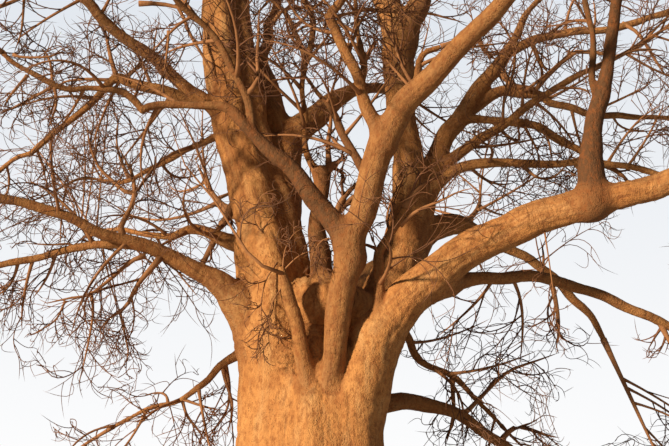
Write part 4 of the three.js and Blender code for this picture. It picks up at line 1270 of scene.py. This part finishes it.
# Branches that can be told apart one by one from the front: the girth at foot and tip, how what grows on
# them lifts or droops, and the places that they pass.
BRANCHES = [
    (0.11, 0.05, 0.4, [(-3.35, -1.15, 7.7), (-3.4, -1.15, 7.9), (-3.25, -1.1, 8.25), (-3.2, -1.05, 8.6),
                       (-3.3, -1, 9), (-3.6, -0.9, 9.55)]),
    (0.07, 0.05, 0.3, [(-3.2, -1.05, 8.55), (-3.4, -1, 8.6), (-3.6, -0.95, 8.8), (-3.9, -0.9, 9.1),
                       (-4.1, -0.9, 9.55), (-4.2, -0.85, 10.05)]),
    (0.08, 0.04, -0.5, [(-2.95, -1, 7.4), (-3.2, -1, 7.3), (-3.55, -1.05, 6.95), (-3.9, -1.1, 6.65),
                        (-4.25, -1.1, 6.6), (-4.65, -1.1, 6.5), (-4.8, -1.1, 6.6)]),
    (0.05, 0.03, -0.6, [(-3.85, -1.1, 6.65), (-3.8, -1.1, 6.35), (-3.85, -1.1, 5.8), (-3.95, -1.1, 5.2),
                        (-4, -1.1, 5)]),
    (0.04, 0.03, -0.6, [(-4.3, -1.1, 6.55), (-4.45, -1.1, 6.2), (-4.8, -1.15, 5.95)]),
    (0.11, 0.04, -0.5, [(-2.7, -0.9, 7.4), (-2.85, -0.9, 7.2), (-3.1, -0.85, 6.9), (-3.3, -0.8, 6.5),
                        (-3.65, -0.75, 6.25), (-3.85, -0.7, 5.85)]),
    (0.05, 0.03, -0.5, [(-3.4, -0.8, 6.45), (-3.25, -0.8, 5.9), (-3.2, -0.8, 5.65), (-3.3, -0.8, 5.45)]),
    (0.04, 0.03, -0.3, [(-4.25, -0.85, 7.6), (-4.35, -0.9, 7.65), (-4.65, -1, 7.6), (-5.1, -1.1, 7.6)]),
    (0.06, 0.025, 0.3, [(-0.5, -1.45, 6.95), (-0.95, -1.65, 7.1), (-1.25, -1.7, 7.5), (-1.7, -1.8, 8.2),
                        (-2.05, -1.85, 8.6), (-2.3, -1.9, 8.95), (-2.4, -2, 9.4), (-2.8, -2.05, 9.6)]),
    (0.03, 0.016, 0.4, [(-0.5, -1.4, 7), (-0.46, -1.5, 7.35), (-0.3, -1.55, 7.65), (-0.1, -1.55, 7.75)]),
    (0.028, 0.016, 0.1, [(-0.5, -1.4, 7), (-0.2, -1.55, 7.25), (0.1, -1.6, 7.3), (0.3, -1.62, 7.05)]),
    (0.03, 0.016, -0.6, [(-0.62, -0.9, 7.3), (-0.82, -1.05, 6.9), (-0.88, -1.1, 6.3), (-0.75, -1.15, 5.7)]),
    (0.028, 0.016, -0.6, [(-0.45, -1.38, 6.8), (-0.68, -1.45, 6.4), (-0.72, -1.42, 5.8), (-0.6, -1.4, 5.4)]),
    (0.03, 0.016, 0.2, [(-0.8, -0.7, 7.8), (-1.05, -0.9, 8.1), (-0.9, -1.1, 8.5), (-0.55, -1.2, 8.6)]),
    (0.03, 0.016, -0.3, [(0.55, -1.6, 7.4), (0.25, -1.75, 7.5), (0.02, -1.75, 7.2), (-0.02, -1.7, 6.9)]),
    (0.03, 0.016, 0.3, [(1.17, -1.35, 7.3), (1.0, -1.5, 7.7), (0.7, -1.9, 7.9)]),
    (0.16, 0.09, 0.5, [(0.2, -0.65, 9.05), (0.02, -0.7, 9.15), (-0.05, -0.72, 9.2)]),
    (0.22, 0.13, 0.5, [(0.2, -0.66, 9.1), (0.35, -0.7, 9.2), (0.52, -0.75, 9.3)]),
    (0.11, 0.06, 0.5, [(0.3, -0.65, 9.2), (0.28, -0.6, 9.7), (0.33, -0.5, 10.15), (0.33, -0.4, 10.7)]),
    (0.05, 0.04, 0.2, [(-0.25, -0.25, 11.2), (-0.7, -0.35, 11.1), (-1, -0.4, 11.05)]),
    (0.08, 0.03, 0.3, [(1.55, -1.35, 7.85), (1.85, -1.4, 8.1), (2.25, -1.5, 8.25), (2.6, -1.6, 8.4),
                       (2.95, -1.7, 8.45)]),
    (0.09, 0.06, 0.3, [(0.72, -1.1, 9.3), (0.46, -1, 9.5), (0.28, -0.9, 9.8)]),
    (0.16, 0.1, 0.4, [(0.5, 0.2, 8), (0.43, 0.2, 8.5), (0.52, 0.2, 8.8), (0.7, 0.22, 9.05),
                      (1.05, 0.25, 9.4)]),
    (0.11, 0.1, 0.4, [(0.43, 0.22, 8.55), (0.74, 0.25, 8.9), (0.95, 0.3, 9), (1.2, 0.4, 9.1)]),
    (0.11, 0.07, 0.5, [(0.9, -2, 10.65), (1.04, -1.95, 10.95), (1.2, -1.9, 11.2)]),
    (0.05, 0.04, 0.3, [(-5.15, -2.6, 10.55), (-5, -2.6, 10.5), (-4.6, -2.6, 10.5), (-4.4, -2.6, 10.55),
                       (-4.25, -2.6, 10.65)]),
    (0.1, 0.06, 0.5, [(-3.95, 0.45, 11.5), (-4.1, 0.45, 11.95), (-4.25, 0.5, 12.55), (-4.35, 0.5, 12.8)]),
    (0.1, 0.06, 0.4, [(-3.8, 0.4, 11.45), (-3.45, 0.4, 11.8), (-3.3, 0.4, 11.95)]),
    (0.08, 0.05, 0.2, [(-4.05, 0.45, 11.45), (-4.6, 0.5, 11.5), (-5.05, 0.55, 11.45), (-5.2, 0.6, 11.3)]),
    (0.07, 0.04, 0, [(-2.05, -2.45, 11.4), (-2.35, -2.5, 11.15), (-2.65, -2.5, 10.8), (-2.8, -2.5, 10.65)]),
    (0.05, 0.03, -0.3, [(-2.5, -2.5, 11.05), (-2.5, -2.5, 10.8), (-2.55, -2.5, 10.2)]),
    (0.09, 0.05, 0.4, [(-1.15, -2.1, 10), (-0.95, -2.1, 10.3), (-0.97, -2.1, 10.7), (-0.95, -2.15, 11.15),
                       (-0.95, -2.2, 11.5), (-0.9, -2.2, 11.8)]),
    (0.09, 0.06, 0.2, [(-3.4, -0.6, 12.6), (-3.05, -0.6, 12.6), (-2.75, -0.6, 12.55), (-2.6, -0.6, 12.5),
                       (-2.4, -0.5, 12), (-2.1, -0.4, 11.5), (-1.8, -0.3, 10.95)]),
    (0.06, 0.04, 0, [(-4.45, -2.4, 10.05), (-4.9, -2.35, 9.8), (-5.4, -2.3, 9.55)]),
    (0.06, 0.04, -0.2, [(-4.45, -2.4, 10.05), (-4.4, -2.35, 9.75), (-4.5, -2.3, 9.35)]),
    (0.06, 0.04, -0.2, [(-4.9, -2.5, 10.2), (-5.15, -2.55, 9.8), (-5.25, -2.55, 9.55)]),
    (0.09, 0.07, 0.3, [(-6.2, -2, 11.6), (-5.75, -2, 11.75), (-5.4, -2, 11.9), (-5, -2, 12.1)]),
    (0.05, 0.04, 0, [(-5.25, -1.9, 12.05), (-5.25, -1.9, 11.35), (-5.35, -1.9, 10.9)]),
    (0.08, 0.06, 0.4, [(-0.85, 0.25, 12.6), (-0.6, 0.2, 12.9), (-0.1, 0.2, 12.95), (0.4, 0.2, 13.1)]),
    (0.08, 0.05, 0.2, [(0.8, -1.75, 11.8), (0.85, -1.7, 11.9), (1.45, -1.7, 11.85), (2.05, -1.75, 11.8),
                       (2.5, -1.8, 11.65), (2.85, -1.8, 11.55)]),
    (0.06, 0.05, 0.2, [(1.75, -2.15, 10.1), (1.7, -2.1, 10.2), (1.5, -2, 10.5), (1.25, -1.9, 10.9)]),
    (0.05, 0.04, 0.2, [(1.65, -2.05, 10.6), (1.6, -2, 10.75), (1.4, -1.95, 11.25), (1.05, -1.9, 11.65)]),
    (0.08, 0.07, 0, [(6.5, 1.4, 13.2), (6.8, 1.3, 12.9), (7.15, 1.3, 12.2), (7.35, 1.3, 11.85)]),
    (0.13, 0.07, 0.2, [(3.88, 1.5, 12.1), (4, 1.5, 11.9), (4.4, 1.52, 11.72), (4.8, 1.55, 11.82),
                       (4.9, 1.6, 12.15), (5.3, 1.6, 12.45), (5.7, 1.6, 12.7), (6.25, 1.5, 12.45),
                       (6.7, 1.5, 12.6), (7.5, 1.5, 13.15)]),
    (0.1, 0.09, 0.1, [(4.6, 1.57, 12.8), (4.72, 1.57, 12.45), (4.9, 1.6, 12.15)]),
    (0.11, 0.1, 0.3, [(3.45, 1.5, 12.9), (3.55, 1.55, 12.7), (3.65, 1.52, 12.55), (3.8, 1.5, 12.4)]),
    (0.11, 0.06, -0.2, [(3.55, 1.4, 4.4), (3.65, 1.4, 4.55), (3.9, 1.4, 4.7), (4.4, 1.4, 4.55),
                        (4.7, 1.5, 4.5)]),
    (0.09, 0.06, -0.4, [(2.65, 1.2, 5.6), (2.65, 1.2, 5.25), (2.65, 1.2, 4.9), (2.5, 1.3, 4.35)]),
    (0.09, 0.05, -0.2, [(2.75, 1.05, 4.85), (2.9, 1.1, 4.95), (3.1, 1.15, 5.15), (3.35, 1.2, 5.4),
                        (3.75, 1.3, 5.75), (4.4, 1.4, 6), (4.8, 1.45, 6.15)]),
    (0.028, 0.014, -0.6, [(4, -1.8, 7.65), (4.05, -1.9, 6.85), (4.1, -1.9, 6.15), (4.1, -1.9, 5.85),
                          (4.25, -1.9, 5.5)]),
    (0.13, 0.1, -0.5, [(6.4, 0.2, 6.5), (6.5, 0.2, 6.25), (6.6, 0.2, 6)]),
    (0.18, 0.16, 0, [(-1.4, 0.3, 8.95), (-1.55, 0.35, 8.8), (-1.6, 0.4, 8.7), (-1.7, 0.45, 8.5),
                     (-1.8, 0.5, 8.4), (-1.95, 0.6, 8.25)]),
    (0.13, 0.08, -0.3, [(-1.9, 0.62, 8.25), (-1.95, 0.65, 8.1), (-2.1, 0.7, 7.8), (-2.15, 0.75, 7.6),
                        (-2.1, 0.85, 7.35)]),
    (0.06, 0.05, -0.4, [(-2.5, 1.25, 5.2), (-2.4, 1.25, 4.9), (-2.2, 1.3, 4.65), (-2.05, 1.3, 4.45)]),
    (0.06, 0.04, -0.3, [(-2.5, 1.2, 5.2), (-2.1, 1.1, 5.05), (-1.75, 1, 4.95)]),
    (0.07, 0.04, -0.4, [(-1.7, 0.75, 5.75), (-1.65, 0.75, 5.5), (-1.5, 0.8, 5), (-1.6, 0.85, 4.4)]),
    (0.12, 0.06, -0.5, [(4.8, 2.2, 7.9), (4.9, 2.2, 7.35), (4.95, 2.3, 6.8), (4.85, 2.3, 6.3)]),
]

# The length that a branch's twigs are a share of is its own, held within these metres, and less where its
# foot is thinner than this.
BRANCH_LENGTHS = (0.8, 1.8)
FULL_GIRTH = 0.045
PLACED_ID = 2000
# The branch that a thin limb ends in: its reach in metres, how far it strays, and its radius at the tip.
TIP_REACH = 1.1
TIP_WANDER = 1.6
TIP_END = 0.01
TIP_ID = 3000


def placed_branches():
    """The branches that pass given places, each as a smooth path of ten steps."""
    groups = []
    for index, (foot, tip, lift, places) in enumerate(BRANCHES):
        path, run = limb_path(places)
        line = along_path(path, run, np.linspace(0, run[-1], STEM_STEPS + 1))
        length = np.clip(run[-1], *BRANCH_LENGTHS) * min(1, foot / FULL_GIRTH)
        groups.append(shoots(line[None], id=np.uint32(PLACED_ID + index), length=length, lift=lift,
                             mass=nearest_mass(line[-1]), radius=foot / 2, tip=tip / 2))
    return gathered(groups)


def limb_ends():
    """The branches that thin limbs which carry no mass end in."""
    rules = [(name, TIP_REACH, DROOPING.get(name, USUAL_LIFT)) for name in [*THIN_LIMBS, "left_low_fork"]]
    ends = stems(rules, TIP_WANDER, TIP_END, TIP_ID)
    return {**ends, "mass": np.array([nearest_mass(line[-1]) for line in ends["line"]])}


def foot_sunk(group, depth):
    """The same shoots, each with its foot moved back into what bears it."""
    line = group["line"].copy()
    line[:, 0] -= unit(line[:, 1] - line[:, 0]) * depth
    return {**group, "line": line}


side_branch = {**RANKS[0], "wander": 1.8}
branches = gathered([
    brood(stem_shoots, RANKS[0], keeps_in_mass),
    on_sides(side_branch, per_metre=1.6, length=1.9, thickest=0.3, girth=0.075, first_id=900),
])
placed = gathered([placed_branches(), limb_ends()])
branchlets = gathered([
    brood(gathered([branches, placed]), RANKS[1], keeps_in_reach),
    on_sides(RANKS[1], per_metre=2.5, length=0.9, thickest=0.7, girth=0.05, first_id=1500),
])
twigs = brood(branchlets, RANKS[2], keeps_in_reach)
twiglets = brood(twigs, RANKS[3], keeps_in_reach)

# A shoot's radius at its foot is larger by this share, which falls off by this power of e along it, and at
# its tip smaller by this share, which grows as this power of the way along it.
FOOT_FLARE = 0.4
FLARE_FALL = 12
TIP_THINNING = 0.55
THINNING_POWER = 5


def shoot_tubes(group, sides):
    """Every shoot as a thin closed tube: rings round the points of its line but the last, which is its
    tip. The radius falls evenly from foot to tip, times the flare at the foot and the thinning."""
    line = group["line"]
    count, rings = line.shape[0], line.shape[1] - 1
    along = unit(np.gradient(line, axis=1))[:, :-1]
    aside = np.where(np.abs(along[:, :1, 2:]) < 0.8, (0.0, 0.0, 1.0), (1.0, 0.0, 0.0))
    across = unit(np.cross(along, np.broadcast_to(aside, along.shape)))
    beside = np.cross(along, across)
    share = np.linspace(0, 1, rings)
    radius = group["radius"][:, None] * (1 - share) + group["tip"][:, None] * share
    radius *= (1 + FOOT_FLARE * np.exp(-FLARE_FALL * share)) * (1 - TIP_THINNING * share**THINNING_POWER)
    wall = rings_round(line[:, :-1], radius, across, beside, sides).reshape(count, -1, 3)
    vertices = np.concatenate([wall, line[:, -1:]], axis=1)
    inner = np.arange(1, sides - 1)
    foot = np.stack([np.zeros_like(inner), inner + 1, inner], 1)
    faces = np.concatenate(tube_faces(rings, sides, rings * sides) + [foot])
    faces = faces[None] + (np.arange(count) * vertices.shape[1])[:, None, None]
    return vertices.reshape(-1, 3), faces.reshape(-1, 3)


def branch_material():
    """The bark of thin branches: brown, with darker and lighter patches."""
    branch = Recipe(bpy.data.materials.new("young bark"))
    place = branch.object_place()
    patches = branch.between(branch.noise(place, 5.0, 3), 0.35, 0.7)
    branch.feed("Base Color", branch.mix(patches, (0.27, 0.125, 0.054, 1.0), (0.4, 0.2, 0.09)))
    branch.feed("Roughness", 0.8)
    branch.bump(branch.noise(place, 60.0, 2), 0.004)
    return branch.owner


def plain_material(name, tint, roughness):
    """A material of one colour all over."""
    plain = Recipe(bpy.data.materials.new(name))
    plain.feed("Base Color", (*tint, 1.0))
    plain.feed("Roughness", roughness)
    return plain.owner


def add_twigs(name, parts, material, nodes):
    """A piece with the tubes of several ranks, in place of the nodes."""
    piece = new_object(name, mesh_from(name, *joined(parts)))
    piece.data.materials.append(material)
    if nodes:
        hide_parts(*nodes)
    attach(piece, "root")


STEM_SINK = 0.15  # metres that a stem's foot sits in its limb
BRANCH_SIDES = 6
STOUT_SIDES = 8
TWIG_SIDES = 3
TWIG_ROUGHNESS = 0.8
# One plain colour for each spray of twigs.
TWIG_TINTS = [(0.17, 0.078, 0.042), (0.21, 0.097, 0.052), (0.15, 0.07, 0.042), (0.19, 0.086, 0.042),
              (0.23, 0.11, 0.06), (0.16, 0.075, 0.046), (0.2, 0.09, 0.045), (0.17, 0.085, 0.05)]

stout = [shoot_tubes(foot_sunk(stem_shoots, STEM_SINK), STOUT_SIDES), shoot_tubes(branches, BRANCH_SIDES),
         shoot_tubes(placed, STOUT_SIDES)]
add_twigs("branches", stout, branch_material(), [])
for spray, tint in enumerate(TWIG_TINTS):
    parts = [shoot_tubes(picked(rank, rank["mass"] % len(TWIG_TINTS) == spray), TWIG_SIDES)
             for rank in (branchlets, twigs, twiglets)]
    nodes = [node for index, node in enumerate(MASSES) if index % len(TWIG_TINTS) == spray]
    look = plain_material(f"twig bark {spray + 1}", tint, TWIG_ROUGHNESS)
    add_twigs(f"twigs_{spray + 1}", parts, look, nodes)


# The place it is seen in: plain pale ground, an open sky that pales towards the horizon, and a low warm
# sun from the front left. The camera stands 21 m away on the ground and looks up at the fork.
GROUND_REACH = 400.0
GROUND_COLOUR = (0.86, 0.83, 0.78)
GROUND_ROUGHNESS = 0.9
SKY_LOW = (0.985, 0.985, 0.99, 1.0)
SKY_HIGH = (0.74, 0.785, 0.845, 1.0)
SKY_HEIGHTS = (0.1, 0.5)  # the sine of the height above the horizon up to and from which they hold
SKY_LIGHT = 0.11  # how strongly the sky lights the tree, as a share of how bright it looks
SUN_COLOUR = (1.0, 0.76, 0.50)
SUN_WIDTH = 4.5  # degrees
EYE = (0.4, -21.0, 1.7)
EYE_TILT = 17.5  # degrees above level


def ground():
    """A flat square, far wider than the tree."""
    corners = np.array([(-1, -1, 0), (1, -1, 0), (1, 1, 0), (-1, 1, 0)]) * GROUND_REACH
    floor = new_object("floor", mesh_from("floor", corners, np.array([[0, 1, 2, 3]])))
    floor.data.materials.append(plain_material("pale ground", GROUND_COLOUR, GROUND_ROUGHNESS))


def sky():
    """The colour of the open sky by height, from near white low down to pale blue. It looks brighter to the
    camera than the light that it gives."""
    recipe = Recipe(bpy.data.worlds.new("sky"), "Background")
    way = recipe.add("TexCoord", {}, {}).outputs["Generated"]
    height = recipe.add("SeparateXYZ", {}, {0: way}).outputs[2]
    stops = zip(SKY_HEIGHTS, (SKY_LOW, SKY_HIGH))
    seen = recipe.add("LightPath", {}, {}).outputs["Is Camera Ray"]
    recipe.feed("Color", recipe.add("ValToRGB", {"stops": stops}, {0: height}).outputs[0])
    recipe.feed("Strength", recipe.add("Mix", {}, {0: seen, 2: SKY_LIGHT, 3: 1.0}).outputs[0])
    bpy.context.scene.world = recipe.owner


def sun(bearing, height, power):
    """A low sun: its light comes from that many degrees to the left of the view, at that height."""
    lamp = bpy.data.lights.new("sun", "SUN")
    lamp.energy = power
    lamp.angle = np.radians(SUN_WIDTH)
    lamp.color = SUN_COLOUR
    light = new_object("sun", lamp)
    light.rotation_euler = (np.radians(90 - height), 0, np.radians(-bearing))


def camera():
    """A camera at eye height that looks up at the fork."""
    lens = bpy.data.cameras.new("camera")
    lens.lens = 63
    lens.sensor_width = 36
    lens.clip_end = 2000
    eye = new_object("camera", lens)
    eye.location = EYE
    eye.rotation_euler = (np.radians(90 + EYE_TILT), 0, 0)
    bpy.context.scene.camera = eye


ground()
sky()
sun(bearing=50, height=11, power=5.7)
camera()
bpy.context.scene.view_settings.view_transform = "Standard"
